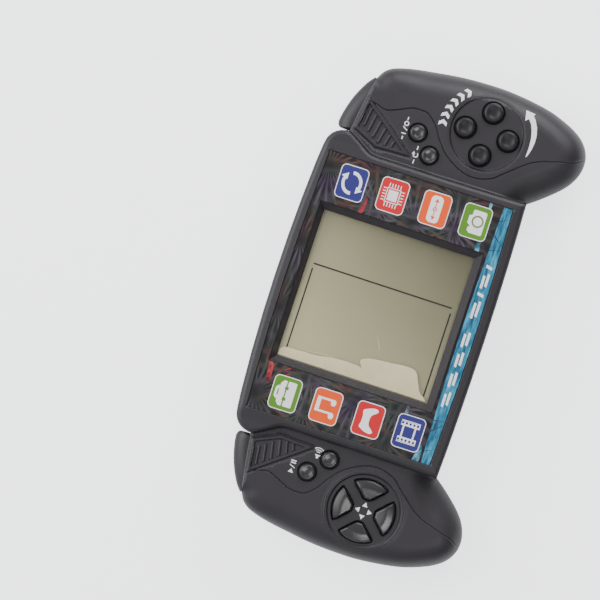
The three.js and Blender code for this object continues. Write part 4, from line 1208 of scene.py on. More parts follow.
def printed_panel():
    mats = [
        panel_ground(), ink("tile_green", srgb(84, 138, 22)),
        ink("tile_orange", srgb(240, 84, 10)), ink("tile_red", srgb(206, 20, 30)),
        ink("tile_blue", srgb(36, 38, 118)), M_WHITE_PRINT, band_blue(),
        streak("bar_light_blue", srgb(24, 92, 120), srgb(120, 184, 206)),
        streak("bar_red", srgb(60, 18, 26), srgb(190, 50, 62)),
        ink("band_scratch", srgb(14, 40, 54)), ink("tile_olive", srgb(118, 132, 84)),
        streak("bar_grey_blue", srgb(60, 70, 82), srgb(120, 134, 148))]
    outline = np.vstack([PANEL_HALF, (PANEL_HALF * [-1, 1])[::-1][1:-1]])
    hole = np.array(box(-31.1, -32.1, 31.1, 31.65))
    flat_piece("printed_panel_sheet", outline, [hole], panel_shapes(), 29.22, Z_PANEL_TOP, mats,
               "panel", "printed_panel", closed=True)


printed_panel()


# ------------------------------------------------------------------ display
def display_mat():
    """Olive grey reflective display with painted light: it grows lighter towards the left and the
    top, with a slow random tone change and a faint grain.
    """
    mat = Nodes("display_olive")
    x, y, _ = mat.xyz()
    slow = mat.noise(24)
    # painted light: the tone ramps lighter towards the left and the top of the display
    slope = mat.math("SUBTRACT", 0.5, mat.math("MULTIPLY", x, 15.0))
    upward = mat.math("MULTIPLY", mat.math("SUBTRACT", y, CENTRE_Y * 0.001), 11.0)
    slope = mat.math("ADD", slope, upward)
    tone = mat.math("ADD", mat.math("MULTIPLY", slow, 0.24),
                    mat.math("MULTIPLY", slope, 0.76), clamp=True)
    colour = mat.mix(tone, srgb(111, 108, 82), srgb(213, 205, 168))
    fine = mat.noise(5200)
    mat.principled(
        Base_Color=mat.mix(mat.math("MULTIPLY", fine, 0.12), colour, srgb(120, 116, 92)),
        Roughness=0.5, Metallic=0.0, Specular_IOR_Level=0.35,
        Normal=mat.bump(fine, strength=0.2, distance=0.000004))
    return mat.mat


def clear_mat(name, tint, gloss, haze=0.0, haze_colour=None, ior=1.45, ripple=0.0):
    """Thin clear sheet: see-through, a mirror layer by Fresnel, and optional milky haze."""
    mat = Nodes(name)
    clear = mat.new("ShaderNodeBsdfTransparent")
    clear.inputs[0].default_value = tint
    glossy = mat.new("ShaderNodeBsdfGlossy")
    glossy.inputs["Roughness"].default_value = gloss
    fresnel = mat.new("ShaderNodeFresnel")
    back = mat.new("ShaderNodeNewGeometry").outputs["Backfacing"]
    mat.put(fresnel.inputs[0], mat.scale_add(back, 1 / ior - ior, ior))
    if ripple:
        normal = mat.bump(mat.noise(160, detail=3), strength=ripple, distance=0.0002)
        mat.put(glossy.inputs["Normal"], normal)
        mat.put(fresnel.inputs["Normal"], normal)
    last = mat.mix_shader(fresnel.outputs[0], clear.outputs[0], glossy.outputs[0])
    if haze:
        diffuse = mat.new("ShaderNodeBsdfDiffuse")
        diffuse.inputs[0].default_value = haze_colour
        patchy = mat.ramp(mat.noise(90, detail=4, rough=0.6),
                          [(0.25, (0.82, 0.82, 0.82, 1)), (0.7, (1.12, 1.12, 1.12, 1))])
        last = mat.mix_shader(mat.math("MULTIPLY", patchy, haze), last, diffuse.outputs[0])
    mat.put(mat.out.inputs[0], last)
    return mat.mat


def set_mat(node, mat):
    """Gives a CAD piece that stays visible its finish."""
    ob = frame["nodes"][node]
    if not ob.material_slots:
        ob.data.materials.append(mat)
    for slot in ob.material_slots:
        slot.link = "OBJECT"
        slot.material = mat


def display_lines():
    """Printed divider lines of the display."""
    mat = ink("divider_black", srgb(12, 11, 8), rough=0.7, variation=0.05)
    lines = [box(7.807, -27.084, 8.436, 26.788), box(-25.345, 26.344, 6.364, 26.899),
             box(-26.085, -27.491, 6.142, -26.899)]
    for i, line in enumerate(lines):
        flat_piece("display_line_%d" % (i + 1), np.array(line), [], [], 25.305, 25.33, [mat],
                   "polariser")


# milky patch along the film's left side, from top to bottom
PATCH_POINTS = [
    (-27.824, 28.675), (-25.345, 27.935), (-24.716, 21.46), (-24.42, 14.8), (-23.495, 9.62),
    (-23.125, 2.59), (-23.384, -1.11), (-23.828, -2.812), (-22.274, -2.072), (-20.794, -1.258),
    (-19.758, -2.96), (-19.092, -5.92), (-18.463, -12.58), (-17.982, -18.5), (-18.574, -21.386),
    (-22.2, -23.31), (-25.345, -25.012), (-27.01, -27.01), (-27.824, -28.305)]
FOLD_BESIDE = [
    (-15.17, -6.364), (-13.69, -6.216), (-12.395, -5.402), (-11.285, -4.958), (-10.656, -4.07),
    (-10.952, -3.922), (-11.692, -4.588), (-12.728, -4.958), (-13.764, -5.698),
    (-15.17, -5.994)]
FOLD_ABOVE = [(-23.68, 19.24), (-23.088, 14.06), (-22.718, 8.14), (-22.422, 8.14),
              (-22.644, 14.06), (-23.31, 19.24)]


def protective_film():
    """Film over the window: mostly clear, with a lifted milky patch and two folds."""
    cream, milk = srgb(255, 241, 198), srgb(252, 240, 206)
    soft = (0.985, 0.98, 0.955, 1)
    mats = [
        clear_mat("film_clear", (0.99, 0.99, 0.985, 1), gloss=0.10, ior=1.12),
        clear_mat("film_lifted", (0.98, 0.97, 0.94, 1), gloss=0.16, haze=0.60,
                  haze_colour=cream, ior=1.35, ripple=0.5),
        clear_mat("film_lifted_rim", soft, gloss=0.14, haze=0.28, haze_colour=cream, ior=1.25,
                  ripple=0.3),
        clear_mat("film_fold", soft, gloss=0.14, haze=0.16, haze_colour=milk, ior=1.2,
                  ripple=0.3)]
    lo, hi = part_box("protective_film")
    x, y = hi.x * 1000, (hi.y - lo.y) * 500
    patch = ccw(spline(PATCH_POINTS, 0.5))
    # the lifted area reaches past the patch, except along its straight left edge
    lifted = offset(patch, -0.42, True)
    lifted[:, 0] = np.where(patch[:, 0] < -27.602, patch[:, 0] + 0.02, lifted[:, 0])
    shapes = [(patch, 2), (lifted, 1), (spline(FOLD_BESIDE, 0.4), 3),
              (spline(FOLD_ABOVE, 0.6), 3)]
    flat_piece("protective_film_sheet", np.array(box(-x, -y, x, y)), [], shapes, 26.62, 26.76,
               mats, "film", "protective_film")


set_mat("window_lens", clear_mat("window_clear", (0.965, 0.97, 0.955, 1), gloss=0.03))
set_mat("lcd_front_polariser", display_mat())
display_lines()
protective_film()


# ------------------------------------------------------------------ marks that follow the grips
def decal(name, shapes, side=1):
    """White print on the right grip, or mirrored on the left one with side -1."""
    height = lambda pts: grip_z(pts * [side, 1], side < 0) + 0.022
    surface = Surface()
    for shape in shapes:
        outline = straight(ccw(shape), 0.45, closed=True)
        plan = Plan()
        plan.line(outline, closed=True)
        plan.loose(grid_in(outline, 0.45, margin=0.12))
        P, T = triangulate(plan, outline)
        if side < 0:
            T = T[:, ::-1]
        surface.add(*field_mesh(P * [side, 1], T, height, pull=0.1, delta=0.05))
    surface.make(name, [M_WHITE_PRINT], CASE, "panel")


def marks(centre, shapes, flip=1):
    """Shapes about a centre; flip -1 turns them over so that they read right on the left grip."""
    return [place(np.array(shape) * [flip, 1], centre) for shape in shapes]


TURN_ARROW = np.array([
    (69.93, -35.816), (72.89, -36.741), (75.85, -37.111), (78.81, -36.926), (81.4, -36.186),
    (83.99, -34.817), (85.248, -33.67), (86.062, -34.188), (86.432, -30.488), (82.584, -31.228),
    (83.62, -32.412), (82.14, -33.596), (79.92, -34.595), (76.96, -35.335), (73.26, -35.594),
    (69.93, -35.446)])
CHEVRON = [(-1.147, -1.517), (0.259, -1.517), (1.295, 0.0), (0.259, 1.517), (-1.147, 1.517),
           (-0.148, 0.0)]
CHEVRON_RADIUS = 16.798
POWER = [box(-2.072, -0.851, -1.702, 0.851),
         [(-0.703, -0.888), (-0.333, -0.888), (0.703, 0.888), (0.333, 0.888)],
         box(-4.144, -0.185, -2.96, 0.185), box(3.182, -0.185, 4.366, 0.185)]
POWER_RING = [arc_band(0.555, 0.925, 0, 179.9), arc_band(0.555, 0.925, 180, 359.9)]
RESET = [arc_band(0.666, 0.999, 60, 330, count=26), [(0.074, 1.48), (0.074, 0.259), (1.221, 0.888)],
         box(-3.33, -0.185, -1.85, 0.185), box(1.924, -0.185, 3.404, 0.185)]
PLAY = [[(-2.368, -0.999), (-0.888, 0), (-2.368, 0.999)],
        [(-0.592, -1.036), (-0.259, -1.036), (0.629, 1.036), (0.296, 1.036)],
        box(1.11, -0.962, 1.554, 0.962), box(1.924, -0.962, 2.368, 0.962)]
SOUND = [[(-2.22, -0.407), (-1.628, -0.407), (-0.851, -1.073), (-0.851, 1.073),
          (-1.628, 0.407), (-2.22, 0.407)]]
SOUND += [place(arc_band(r, r + 0.296, -42, 42, count=10), (-0.703, 0))
          for r in (0.74, 1.517, 2.294)]

decal("turn_arrow_print", [TURN_ARROW])
chevrons = []
for i in range(6):
    t = math.radians(93.0 - 10.3 * i)
    centre = PAD + CHEVRON_RADIUS * np.array([math.cos(t), math.sin(t)])
    chevrons.append(place(rotated(CHEVRON, t - math.pi / 2), centre))
decal("turn_arc_print", chevrons)
decal("power_mark", marks((66.082, 10.138), POWER) + marks((67.969, 10.138), POWER_RING))
decal("reset_mark", marks((57.942, 3.441), RESET))
decal("start_pause_mark", marks((65.712, 10.952), PLAY, flip=-1), side=-1)
decal("sound_mark", marks((57.942, 3.293), SOUND, flip=-1), side=-1)
triangle = [(3.293, 0), (1.591, 0.999), (1.591, -0.999)]
decal("direction_triangles_print",
      marks(PAD, [rotated(triangle, math.radians(a)) for a in (0, 90, 180, 270)]), side=-1)


# ------------------------------------------------------------------ rear shell
REAR_STEPS = (0.08, 0.3, 0.7, 1.3, 2.1, 3.1, 4.2)  # rows inside the straight edges
DOOR_EDGE_X, DOOR_EDGE_Y = DOOR_X + DOOR_GAP, DOOR_Y + DOOR_GAP
DOOR_HALF = np.array([(0, DOOR_EDGE_Y), (DOOR_EDGE_X, DOOR_EDGE_Y), (DOOR_EDGE_X, -60.0)])
# four long grooves under each grip
GROOVES = [spline([(78.44 - 3.7 * k, -38.48 + 1.85 * k), (79.92 - 3.7 * k, -22.2),
                   (79.18 - 3.7 * k, -5.92 - 1.11 * k)], 1.0) for k in range(4)]


def bottom_y(x):
    return float(np.interp(x, BOTTOM_OUTWARD[:, 0], BOTTOM_OUTWARD[:, 1]))


def rear_z(pts):
    """Height of the underside: flat in the middle, deeper and rounder under the grips."""
    x, y = pts.T
    grip = smoothstep(np.abs(x), 43.5, 53.5)
    shoulder = smoothstep(y, 18.5, 25.16) * grip
    width = 4.2 * (1 - grip) + (10.5 * (1 - shoulder) + 3.0 * shoulder) * grip
    rise = 4.0 * (1 - grip) + (11.0 * (1 - shoulder) + 6.0 * shoulder) * grip
    return Z_BACK * (1 - grip) + dome(dist(pts, HALF, reach=16), width, rise)


def rear_rows(holes, door):
    steps = (0.08, 0.25, 0.5, 0.9, 1.5, 2.3, 3.3, 4.6, 6.2, 8.0, 10.0)
    rows = [offset_rows(GRIP_EDGE, steps, HALF)]
    rows += [offset_rows(line, REAR_STEPS, HALF, sides=(-1,)) for line in (TOP_LINE, BOTTOM_LINE)]
    rows += hole_rows(holes, (0.1, 0.22, 0.4))
    door_line = straight(DOOR_HALF, 2.0)
    rows += [offset(door_line, side * d) for d in (0.08, 0.18, 0.3) for side in (1, -1)]
    rows += [offset(spline(groove[::4], 0.6), d) for groove in GROOVES
             for d in (-0.85, -0.55, -0.25, 0, 0.25, 0.55, 0.85)]
    return trim_rows(np.vstack(rows), holes + [door])


def battery_bay(surface):
    """Seat, walls and roof of the bay, and the floor of the door way, right half."""
    seat, floor_z, ledge = Z_BACK + 2.05, Z_BACK + 3.62, Z_BACK + 2.0
    x1, y0, y1, end = DOOR_EDGE_X, -BAY_Y, DOOR_EDGE_Y, -41.0
    bx, by, roof = BAY_X, BAY_Y, BAY_ROOF
    xe = DOOR_X + 2.1  # the door way's undercut side
    face = surface.face
    face([(bx, y1, seat), (x1, y1, seat), (x1, y0, seat), (bx, y0, seat)], (0, 0, -1))
    face([(0, y1, seat), (bx, y1, seat), (bx, by, seat), (0, by, seat)], (0, 0, -1))
    face([(bx, y0, seat), (bx, by, seat), (bx, by, roof), (bx, y0, roof)], (-1, 0, 0))
    face([(0, by, seat), (0, by, roof), (bx, by, roof), (bx, by, seat)], (0, -1, 0))
    face([(0, y0, seat + 1.6), (bx, y0, seat + 1.6), (bx, y0, roof), (0, y0, roof)], (0, 1, 0))
    face([(0, y0, roof), (bx, y0, roof), (bx, by, roof), (0, by, roof)], (0, 0, -1))
    face([(0, end, floor_z), (0, y0, floor_z), (xe, y0, floor_z), (xe, end, floor_z)],
         (0, 0, -1))
    # the case wall between door way and seam, its lower face running in to the floor
    line = BOTTOM_OUTWARD[BOTTOM_OUTWARD[:, 0] < x1 - 0.05]
    wall = at_height(np.vstack([line, [(x1, bottom_y(x1))]]), floor_z)
    edges = np.c_[np.arange(len(wall) - 1), np.arange(1, len(wall))]
    surface.skirt(wall, edges, Z_SEAM_REAR, depth=SHELL_WALL, up=-1.0)
    inner = wall.copy()
    inner[:, 1] = end + 0.02
    down = np.tile([0.0, 0.0, -1.0], (len(wall) - 1, 1))
    surface.quads([wall[:-1], inner[:-1], inner[1:], wall[1:]], [down] * 4)
    face([(xe, end, ledge), (xe, end, floor_z), (xe, y0, floor_z), (xe, y0, ledge)], (-1, 0, 0))
    face([(x1, end, ledge), (xe, end, ledge), (xe, y0, ledge), (x1, y0, ledge)], (0, 0, 1))


def rear_half():
    wells = [circle(centre, 2.7, 30) for centre in CASE_SCREWS]
    # a row of short slots; the first straddles the centre line
    slots = [fillet(np.array([(x - 0.5, 23.4), (x + 0.5, 23.4), (x + 0.5, 29.8), (x - 0.5, 29.8)]),
                    0.35) for x in (2.4, 4.8)]
    slots.append(np.array(box(0, 23.4, 0.5, 29.8)))
    holes = wells + slots
    door = np.array(box(0, -60, DOOR_EDGE_X, DOOR_EDGE_Y))

    def height(pts):
        z = rear_z(pts)
        for hole in holes:
            z = z + dome(dist(pts, hole, closed=True, reach=0.6), 0.4, 0.35)
        z = z + dome(dist(pts, DOOR_HALF, reach=0.6), 0.3, 0.25)
        under_grip = pts[:, 0] > 55
        cut = np.zeros(under_grip.sum())
        for groove in GROOVES:
            away = dist(pts[under_grip], groove, reach=2)
            cut = np.maximum(cut, 0.40 * (1 - smoothstep(away, 0.25, 0.85)))
        z[under_grip] += cut
        return z

    plan = Plan()
    for curve in [HALF] + holes:
        plan.line(curve, closed=True)
    plan.line(straight(DOOR_HALF, 2.0))
    middle_y = [TOP_LINE[0, 1] - d for d in REAR_STEPS + (5.4, 6.6)]
    fill_half(plan, rear_rows(holes, door), middle_y, pitch=1.5, start_x=0.5, gap=0.6,
              holes=holes + [door])
    P, T = triangulate(plan, HALF, holes + [door])
    verts, faces, normals = field_mesh(P, T, height, up=-1.0)
    surface = Surface()
    surface.add(verts, faces, normals)
    B = boundary(P, T)
    middle, outer, slot = edge_kinds(P, B)
    at_door = dist(middle, DOOR_HALF, reach=1) < 0.02
    rim = outer & ~at_door
    surface.skirt(verts, B[rim], np.where(slot[rim], 6.9, Z_SEAM_REAR), depth=SHELL_WALL, up=-1.0)
    surface.skirt(verts, B[at_door], Z_BACK + 2.0, up=-1.0)
    inner = ~outer & ~at_door
    at_well = np.zeros(len(B), bool)
    for well in wells:
        at_well |= dist(middle, well, closed=True, reach=1) < 0.02
    surface.skirt(verts, B[inner & at_well], 12.15, up=-1.0)
    surface.skirt(verts, B[inner & ~at_well], Z_BACK + 2.0, up=-1.0)
    battery_bay(surface)
    return surface


rear = rear_half()
rear.join(rear.mirrored())
rear.make("rear_shell_skin", [M_REAR], CASE, "shell", "rear_shell")


# ------------------------------------------------------------------ battery cover
def battery_cover():
    x1, y1 = DOOR_X, DOOR_Y
    line = BOTTOM_OUTWARD[BOTTOM_OUTWARD[:, 0] < x1 - 0.2]
    edge_y = bottom_y(x1)
    half = np.vstack([line, [(x1, edge_y)], [(x1, y1)], [(0, y1)]])
    outline = np.vstack([half, (half * [-1, 1])[::-1][1:-1]])
    grooves = [(-33.5 + i * 2.2, -32.6 + i * 2.2) for i in range(5)]  # lower y, upper y
    sides = np.array([(-x1, edge_y), (-x1, y1), (x1, y1), (x1, edge_y)])
    arrow = np.array([(0, -22.94), (-3.33, -18.5), (3.33, -18.5)])

    def height(pts):
        x, y = pts.T
        z = rear_z(np.c_[np.abs(x), y]) + dome(dist(pts, sides, reach=0.6), 0.3, 0.25)
        for low, high in grooves:
            depth = np.clip(np.minimum(y - low, high - y) / 0.25, 0, 1)
            depth *= np.clip((9.3 - np.abs(x)) / 0.4, 0, 1)
            z = z + 0.5 * depth * depth * (3 - 2 * depth)
        away = dist(pts, arrow, closed=True, reach=2)
        return z + 0.3 * smoothstep(np.where(inside(pts, arrow), away, -away), 0, 0.3)

    plan = Plan()
    plan.line(straight(outline, 1.5, closed=True), closed=True)
    rows = []
    for d in (0.1, 0.2, 0.32):
        rows.append(straight([(-x1 + d, edge_y + 1), (-x1 + d, y1 - d), (x1 - d, y1 - d),
                              (x1 - d, edge_y + 1)], 1.5))
    for d in REAR_STEPS:
        row = line + [0, d]
        rows += [row, row[1:] * [-1, 1]]
    for low, high in grooves:
        for y in (low, low + 0.12, low + 0.25, high - 0.25, high - 0.12, high):
            rows.append(straight([(-9.4, y), (9.4, y)], 0.8))
    rows.append(hexgrid(arrow.min(0) - 0.4, arrow.max(0) + 0.4, 0.25))
    rows = np.vstack(rows)
    rows = rows[inside(rows, outline)]
    rows = rows[dist(rows, outline, closed=True, reach=1) > 0.04]
    plan.loose(rows)
    plan.loose(thin(grid_in(outline, 2.2), np.vstack([rows, outline]), 0.8))

    P, T = triangulate(plan, outline)
    verts, faces, normals = field_mesh(P, T, height, up=-1.0)
    verts[:, 2] = np.minimum(verts[:, 2], Z_BACK + 3.25)
    surface = Surface()
    surface.add(verts, faces, normals)
    inner_z = Z_BACK + 1.95
    B = boundary(P, T)
    surface.skirt(verts, B, np.maximum(inner_z, verts[B, 2].max(1) + 0.05), up=-1.0)
    surface.flat(P, T, np.maximum(inner_z, verts[:, 2] + 0.05), up=1.0)
    # lip along the edge at the case's bottom
    lip_z, lip_y = Z_BACK + 3.3, -39.2
    edge = outline[(outline[:, 1] < edge_y + 0.6) & (np.abs(outline[:, 0]) < x1 + 0.01)]
    lip = at_height(edge[np.argsort(edge[:, 0])], lip_z)
    inner = lip.copy()
    inner[:, 1] = lip_y
    level = np.tile([0.0, 0.0, 1.0], (len(lip) - 1, 1))
    surface.quads([lip[:-1], lip[1:], inner[1:], inner[:-1]], [level] * 4)
    surface.face([(-x1, lip_y, inner_z), (-x1, lip_y, lip_z), (x1, lip_y, lip_z),
                  (x1, lip_y, inner_z)], (0, 1, 0))
    surface.face([(x1, edge_y + 0.58, inner_z), (x1, lip_y, inner_z), (x1, lip_y, lip_z),
                  (x1, edge_y + 0.03, lip_z)], (1, 0, 0))
    surface.face([(-x1, edge_y + 0.03, lip_z), (-x1, lip_y, lip_z), (-x1, lip_y, inner_z),
                  (-x1, edge_y + 0.58, inner_z)], (-1, 0, 0))
    # side tongues, and the tabs at the lip's ends
    for side in (1, -1):
        xa, xb = sorted((side * (x1 - 1.4), side * (x1 + 1.7)))
        surface.block(xa, -39.5, Z_BACK + 2.15, xb, -19.0, Z_BACK + 3.2)
        xa, xb = sorted((side * (x1 - 0.3), side * (x1 + 1.8)))
        surface.block(xa, edge_y + 0.62, Z_BACK + 2.15, xb, lip_y, lip_z - 0.02)
    return surface


battery_cover().make("battery_cover_skin", [M_REAR], "battery_cover", "shell", "battery_cover")


# ------------------------------------------------------------------ shoulder keys
SHOULDER_OUTER = [
    (59.533, 29.526), (59.533, 32.042), (59.866, 33.67), (61.013, 34.373), (62.9, 34.299),
    (65.86, 33.744), (69.19, 32.856), (72.52, 31.672), (75.85, 30.118), (78.81, 28.416),
    (81.141, 26.529)]
SHOULDER_INNER = [(80.142, 22.533), (74, 23.754), (66.6, 25.012), (59.533, 26.122)]
SHOULDER_Z = (7.3, 20.9)


def shoulder(side):
    """Trigger-like key: a face that rolls over towards its outer edge, above and below."""
    outer = spline(SHOULDER_OUTER, 0.5)
    outline = ccw(np.vstack([outer, spline(SHOULDER_INNER, 1.0)]) * [side, 1])
    front_edge = outer[outer[:, 0] > 60.532] * [side, 1]
    end = outer[outer[:, 0] < 61.05] * [side, 1]  # the end beside the frame

    def roll(pts):
        away = dist(pts, front_edge, reach=9.0)
        rounded = np.maximum(dome(away, 4.6, 2.9), dome(dist(pts, end, reach=2.0), 1.0, 0.9))
        return rounded + 0.05 * (9.0 - away)

    top = lambda pts: SHOULDER_Z[1] - roll(pts)
    low = lambda pts: SHOULDER_Z[0] + roll(pts)
    plan = Plan()
    plan.line(outline, closed=True)
    steps = (0.06, 0.2, 0.45, 0.8, 1.25, 1.8, 2.5, 3.3, 4.2, 5.2)
    rows = np.vstack([
        offset_rows(front_edge, steps, outline, sides=(1, -1)),
        offset_rows(end, (0.08, 0.25, 0.5, 0.8, 1.1), outline, sides=(1, -1))])
    plan.loose(rows[dist(rows, outline, closed=True, reach=2.0) > 0.03])
    plan.loose(thin(grid_in(outline, 1.2, margin=0.2), np.vstack([rows, outline]), 0.5))
    P, T = triangulate(plan, outline)
    surface = Surface()
    verts, faces, normals = field_mesh(P, T, top)
    surface.add(verts, faces, normals)
    B = boundary(P, T)
    surface.skirt(verts, B, low(P)[B].T)
    surface.add(*field_mesh(P, T, low, up=-1.0))
    return surface


for name, side in (("right_shoulder_key", 1), ("left_shoulder_key", -1)):
    shoulder(side).make(name + "_skin", [M_SHELL], name, "shell", name)


# ------------------------------------------------------------------ finishes of the inner parts
def metal(name, colour, rough=0.3):
    mat = Nodes(name)
    uneven = mat.noise(900, detail=3, rough=0.6)
    mat.principled(Base_Color=colour, Metallic=1.0,
                   Roughness=mat.scale_add(uneven, 0.18, rough - 0.09))
    return mat.mat


def board_mat():
    """Tan board with a faint net of darker lines."""
    mat = Nodes("board_phenolic")
    uneven = mat.noise(500, detail=4, rough=0.6)
    cells = mat.new("ShaderNodeTexVoronoi", feature="DISTANCE_TO_EDGE")
    mat.put(cells.inputs["Vector"], mat.position)
    cells.inputs["Scale"].default_value = 260
    lines = mat.ramp(cells.outputs["Distance"], [(0.04, FULL), (0.09, BLACK)])
    colour = mat.mix(uneven, srgb(150, 104, 52), srgb(178, 128, 68))
    colour = mat.mix(mat.math("MULTIPLY", lines, 0.5), colour, srgb(120, 84, 44))
    mat.principled(Base_Color=colour, Roughness=0.45)
    return mat.mat


def zebra_mat():
    mat = Nodes("zebra_stripes")
    wave = mat.new("ShaderNodeTexWave", wave_type="BANDS", bands_direction="X")
    mat.put(wave.inputs["Vector"], mat.position)
    wave.inputs["Scale"].default_value = 500
    stripes = mat.mix(wave.outputs["Fac"], srgb(20, 20, 20), srgb(150, 120, 120))
    mat.principled(Base_Color=stripes, Roughness=0.7)
    return mat.mat


def cell_mat():
    """Wrapped cell along X: blue sleeve, pale band and bare ends; the two lie opposite ways."""
    mat = Nodes("cell_wrap")
    sx, sy, _ = mat.xyz()
    y = mat.math("SUBTRACT", sy, CENTRE_Y * 0.001)
    x = mat.math("MULTIPLY", sx, mat.math("SIGN", y))
    normal = mat.new("ShaderNodeSeparateXYZ")
    mat.put(normal.inputs[0], mat.new("ShaderNodeNewGeometry").outputs["Normal"])
    end = mat.math("GREATER_THAN", mat.math("ABSOLUTE", normal.outputs[0]), 0.9)
    band_start, band_end = 0.0150, 0.0236
    bare = mat.math("MAXIMUM", end, mat.math("GREATER_THAN", x, band_end))
    band = mat.math("MULTIPLY", mat.math("GREATER_THAN", x, band_start),
                    mat.math("LESS_THAN", x, band_end))
    uneven = mat.noise(300, detail=3)
    colour = mat.mix(uneven, srgb(34, 84, 150), srgb(44, 98, 166))
    colour = mat.mix(band, colour, srgb(206, 208, 210))
    colour = mat.mix(bare, colour, srgb(190, 190, 192))
    mat.principled(Base_Color=colour, Metallic=bare, Coat_Weight=0.3,
                   Roughness=mat.scale_add(uneven, 0.1, 0.22))
    return mat.mat


M_STEEL = metal("plated_steel", srgb(196, 198, 202), rough=0.28)
M_BOARD = board_mat()
M_RUBBER = plastic("silicone_grey", srgb(128, 130, 134), rough=0.7, grain=2600,
                   grain_height=0.00001, wear=0.1)
M_RED = plastic("wire_red", srgb(176, 30, 26), rough=0.42, wear=0)
M_RIBBON = plastic("ribbon_white", srgb(196, 196, 192), rough=0.5, grain=900, wear=0)
FINISHES = {
    "lcd_glass": plastic("display_cell", srgb(150, 148, 128), rough=0.15, grain=300,
                         grain_height=0.0, wear=0),
    "lcd_rear_reflector": metal("reflector_silver", srgb(190, 188, 180), rough=0.4),
    "lcd_holder": plastic("holder_black", srgb(26, 26, 28), rough=0.5),
    "main_board": M_BOARD, "left_key_board": M_BOARD, "right_key_board": M_BOARD,
    "left_rubber_keypad": M_RUBBER, "right_rubber_keypad": M_RUBBER,
    "left_ribbon_cable": M_RIBBON, "right_ribbon_cable": M_RIBBON,
    "chip_potting": plastic("potting_black", srgb(20, 20, 21), rough=0.22, grain=700,
                            grain_height=0.00003, wear=0),
    "filter_capacitor": plastic("sleeve_dark", srgb(22, 22, 34), rough=0.3, wear=0.1),
    "buzzer_disc": metal("buzzer_brass", srgb(206, 168, 90)),
    "spring_contact_negative": M_STEEL, "plate_contact_positive": M_STEEL,
    "bridge_contact": M_STEEL, "battery_wire_red": M_RED, "buzzer_wire": M_RED,
    "battery_wire_black": plastic("wire_black", srgb(24, 24, 24), rough=0.42, wear=0)}

# ------------------------------------------------------------------ rubber keypads
KEYPAD = np.array([
    (55.87, 8.14), (55.87, -31.82), (67.34, -34.41), (78.44, -34.41), (86.58, -27.38),
    (87.32, -14.8), (86.21, -3.7), (80.66, 1.48), (70.3, 8.88)])
KEYPAD_Z = (20.92, 21.68)
SCREW_GAPS = [(78.0, 2.6), (61.0, -37.5)]
# hollow dome under each key: radius, height
DOME_PROFILE = [
    (0, 23.13), (1.62, 23.13), (1.82, 23.08), (1.92, 22.92), (2.1, 22.55), (2.36, 22.12),
    (2.6, 21.84), (2.78, 21.74), (2.92, 21.7), (2.92, 20.93), (2.1, 20.93), (1.95, 21.3),
    (1.5, 22.0), (0, 22.0)]


def keypad(name, side):
    if side < 0:
        under = [("direction_key_" + way,
                  PAD_LEFT + 7.77 * np.array([math.cos(angle), math.sin(angle)]))
                 for way, angle in DIRECTION_KEYS]
    else:
        under = [("rotate_button_" + way, centre) for way, centre in TURN_KEYS]
    under += [(key, (side * x, y)) for key, (x, y) in zip(SMALL_NAMES[side], SMALL_KEYS)]
    gaps = [circle(centre, 2.95, 36) for _, centre in under]
    gaps += [circle((side * x, y), 2.6, 28) for x, y in SCREW_GAPS]
    flat_piece(name + "_keypad_sheet", fillet(KEYPAD, 1.2) * [side, 1], gaps, [], *KEYPAD_Z,
               [M_RUBBER], "silicone", name + "_rubber_keypad", closed=True)
    for key, centre in under:
        ob = make_turned(key + "_dome", DOME_PROFILE, centre, M_RUBBER, CASE,
                         count=36, sharp=40)
        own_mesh(ob)


keypad("left", -1)
keypad("right", 1)

zebra, cell = zebra_mat(), cell_mat()
for node in frame["nodes"]:
    if node.startswith("zebra"):
        set_mat(node, zebra)
    elif node in ("battery_upper", "battery_lower"):
        set_mat(node, cell)
    elif "screw" in node:
        set_mat(node, M_STEEL)
    elif node in FINISHES:
        set_mat(node, FINISHES[node])


# ------------------------------------------------------------------ floor, light, camera
def floor():
    """Pale glowing floor, clear from below so that the underside can be looked at."""
    mesh = bpy.data.meshes.new("floor")
    half, z = 3.0, -0.00015
    mesh.from_pydata([(x, y, z) for x, y in box(-half, -half, half, half)], [], [(0, 1, 2, 3)])
    ob = bpy.data.objects.new("floor", mesh)
    bpy.context.scene.collection.objects.link(ob)
    mat = Nodes("floor_pale")
    seen = mat.new("ShaderNodeLightPath").outputs["Is Camera Ray"]
    surface = mat.principled(
        Base_Color=mat.mix(mat.noise(3.0), (0.80, 0.81, 0.83, 1), (0.84, 0.85, 0.87, 1)),
        Roughness=0.85, Specular_IOR_Level=0.2, Emission_Color=(0.95, 0.97, 1.0, 1),
        Emission_Strength=mat.scale_add(seen, 1.3, 0.75))
    back = mat.new("ShaderNodeNewGeometry").outputs["Backfacing"]
    clear = mat.new("ShaderNodeBsdfTransparent").outputs[0]
    mat.put(mat.out.inputs["Surface"], mat.mix_shader(back, surface, clear))
    mesh.materials.append(mat.mat)


centre_y = CENTRE_Y * 0.001


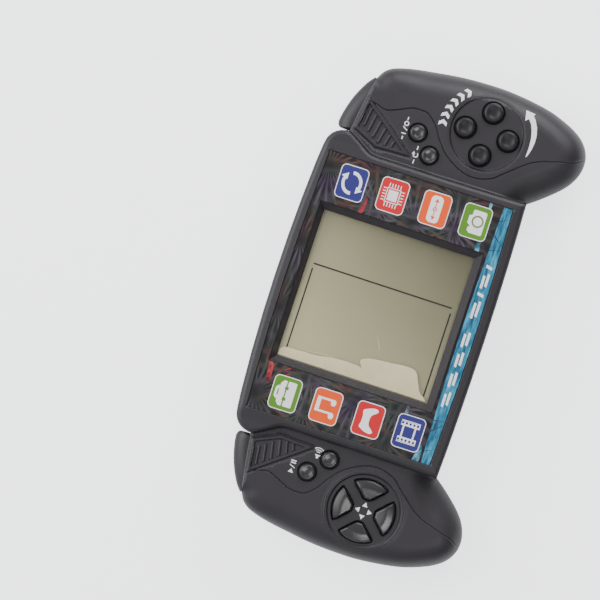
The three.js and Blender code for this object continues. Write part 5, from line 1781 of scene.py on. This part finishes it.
def area_light(name, place_at, size, power, size_y=None):
    """Area light aimed at a point just above the frame's origin; y is from the display."""
    light = bpy.data.lights.new(name, "AREA")
    light.energy, light.size = power, size
    if size_y:
        light.shape, light.size_y = "RECTANGLE", size_y
    ob = bpy.data.objects.new(name, light)
    bpy.context.scene.collection.objects.link(ob)
    x, y, z = place_at
    ob.location = (x, y + centre_y, z)
    aim = Vector((0, 0, 0.02)) - Vector((x, y + centre_y, z))
    ob.rotation_euler = aim.to_track_quat("-Z", "Y").to_euler()
    return ob


def lights():
    area_light("low_left", (-0.24, -0.33, 0.66), size=0.26, power=0.7)
    area_light("low_right", (0.50, -0.10, 0.34), size=0.34, power=2.1)
    accent = area_light("key_accent", (-0.27, -0.31, 0.66), size=0.50, power=3.2, size_y=0.24)
    # the accent falls on the black keys only
    lit = bpy.data.collections.new("lit_keys")
    for ob in bpy.data.objects:
        if ob.type == "MESH" and ob.material_slots and ob.material_slots[0].material == M_KEY:
            lit.objects.link(ob)
    accent.light_linking.receiver_collection = lit
    area_light("back_soft", (0.05, 0.60, 0.60), size=0.60, power=4.8)


def studio():
    """World that is brighter on the side of the shoulder keys."""
    world = bpy.context.scene.world or bpy.data.worlds.new("studio")
    bpy.context.scene.world = world
    world.use_nodes = True
    nodes, links = world.node_tree.nodes, world.node_tree.links
    background = nodes.get("Background") or nodes.new("ShaderNodeBackground")
    way = nodes.new("ShaderNodeTexCoord")
    split = nodes.new("ShaderNodeSeparateXYZ")
    bright = nodes.new("ShaderNodeMapRange")
    links.new(way.outputs["Generated"], split.inputs[0])
    links.new(split.outputs[1], bright.inputs["Value"])
    for key, value in (("From Min", -0.8), ("From Max", 0.8), ("To Min", 0.16),
                       ("To Max", 1.06)):
        bright.inputs[key].default_value = value
    links.new(bright.outputs[0], background.inputs[1])
    background.inputs[0].default_value = (0.96, 0.96, 1.0, 1)


def camera():
    """Camera straight above the case, its long lens just taking in view_width."""
    height, view_width, sensor = 1.60, 0.222, 36
    data = bpy.data.cameras.new("camera")
    ob = bpy.data.objects.new("camera", data)
    bpy.context.scene.collection.objects.link(ob)
    data.sensor_width = sensor
    data.lens = sensor * height / view_width
    ob.location = (-0.00642, 0.02735 + centre_y, height + Z_GRIP * 0.001)
    ob.rotation_euler = (0, 0, math.radians(-71.87))
    bpy.context.scene.camera = ob


floor()
lights()
studio()
camera()
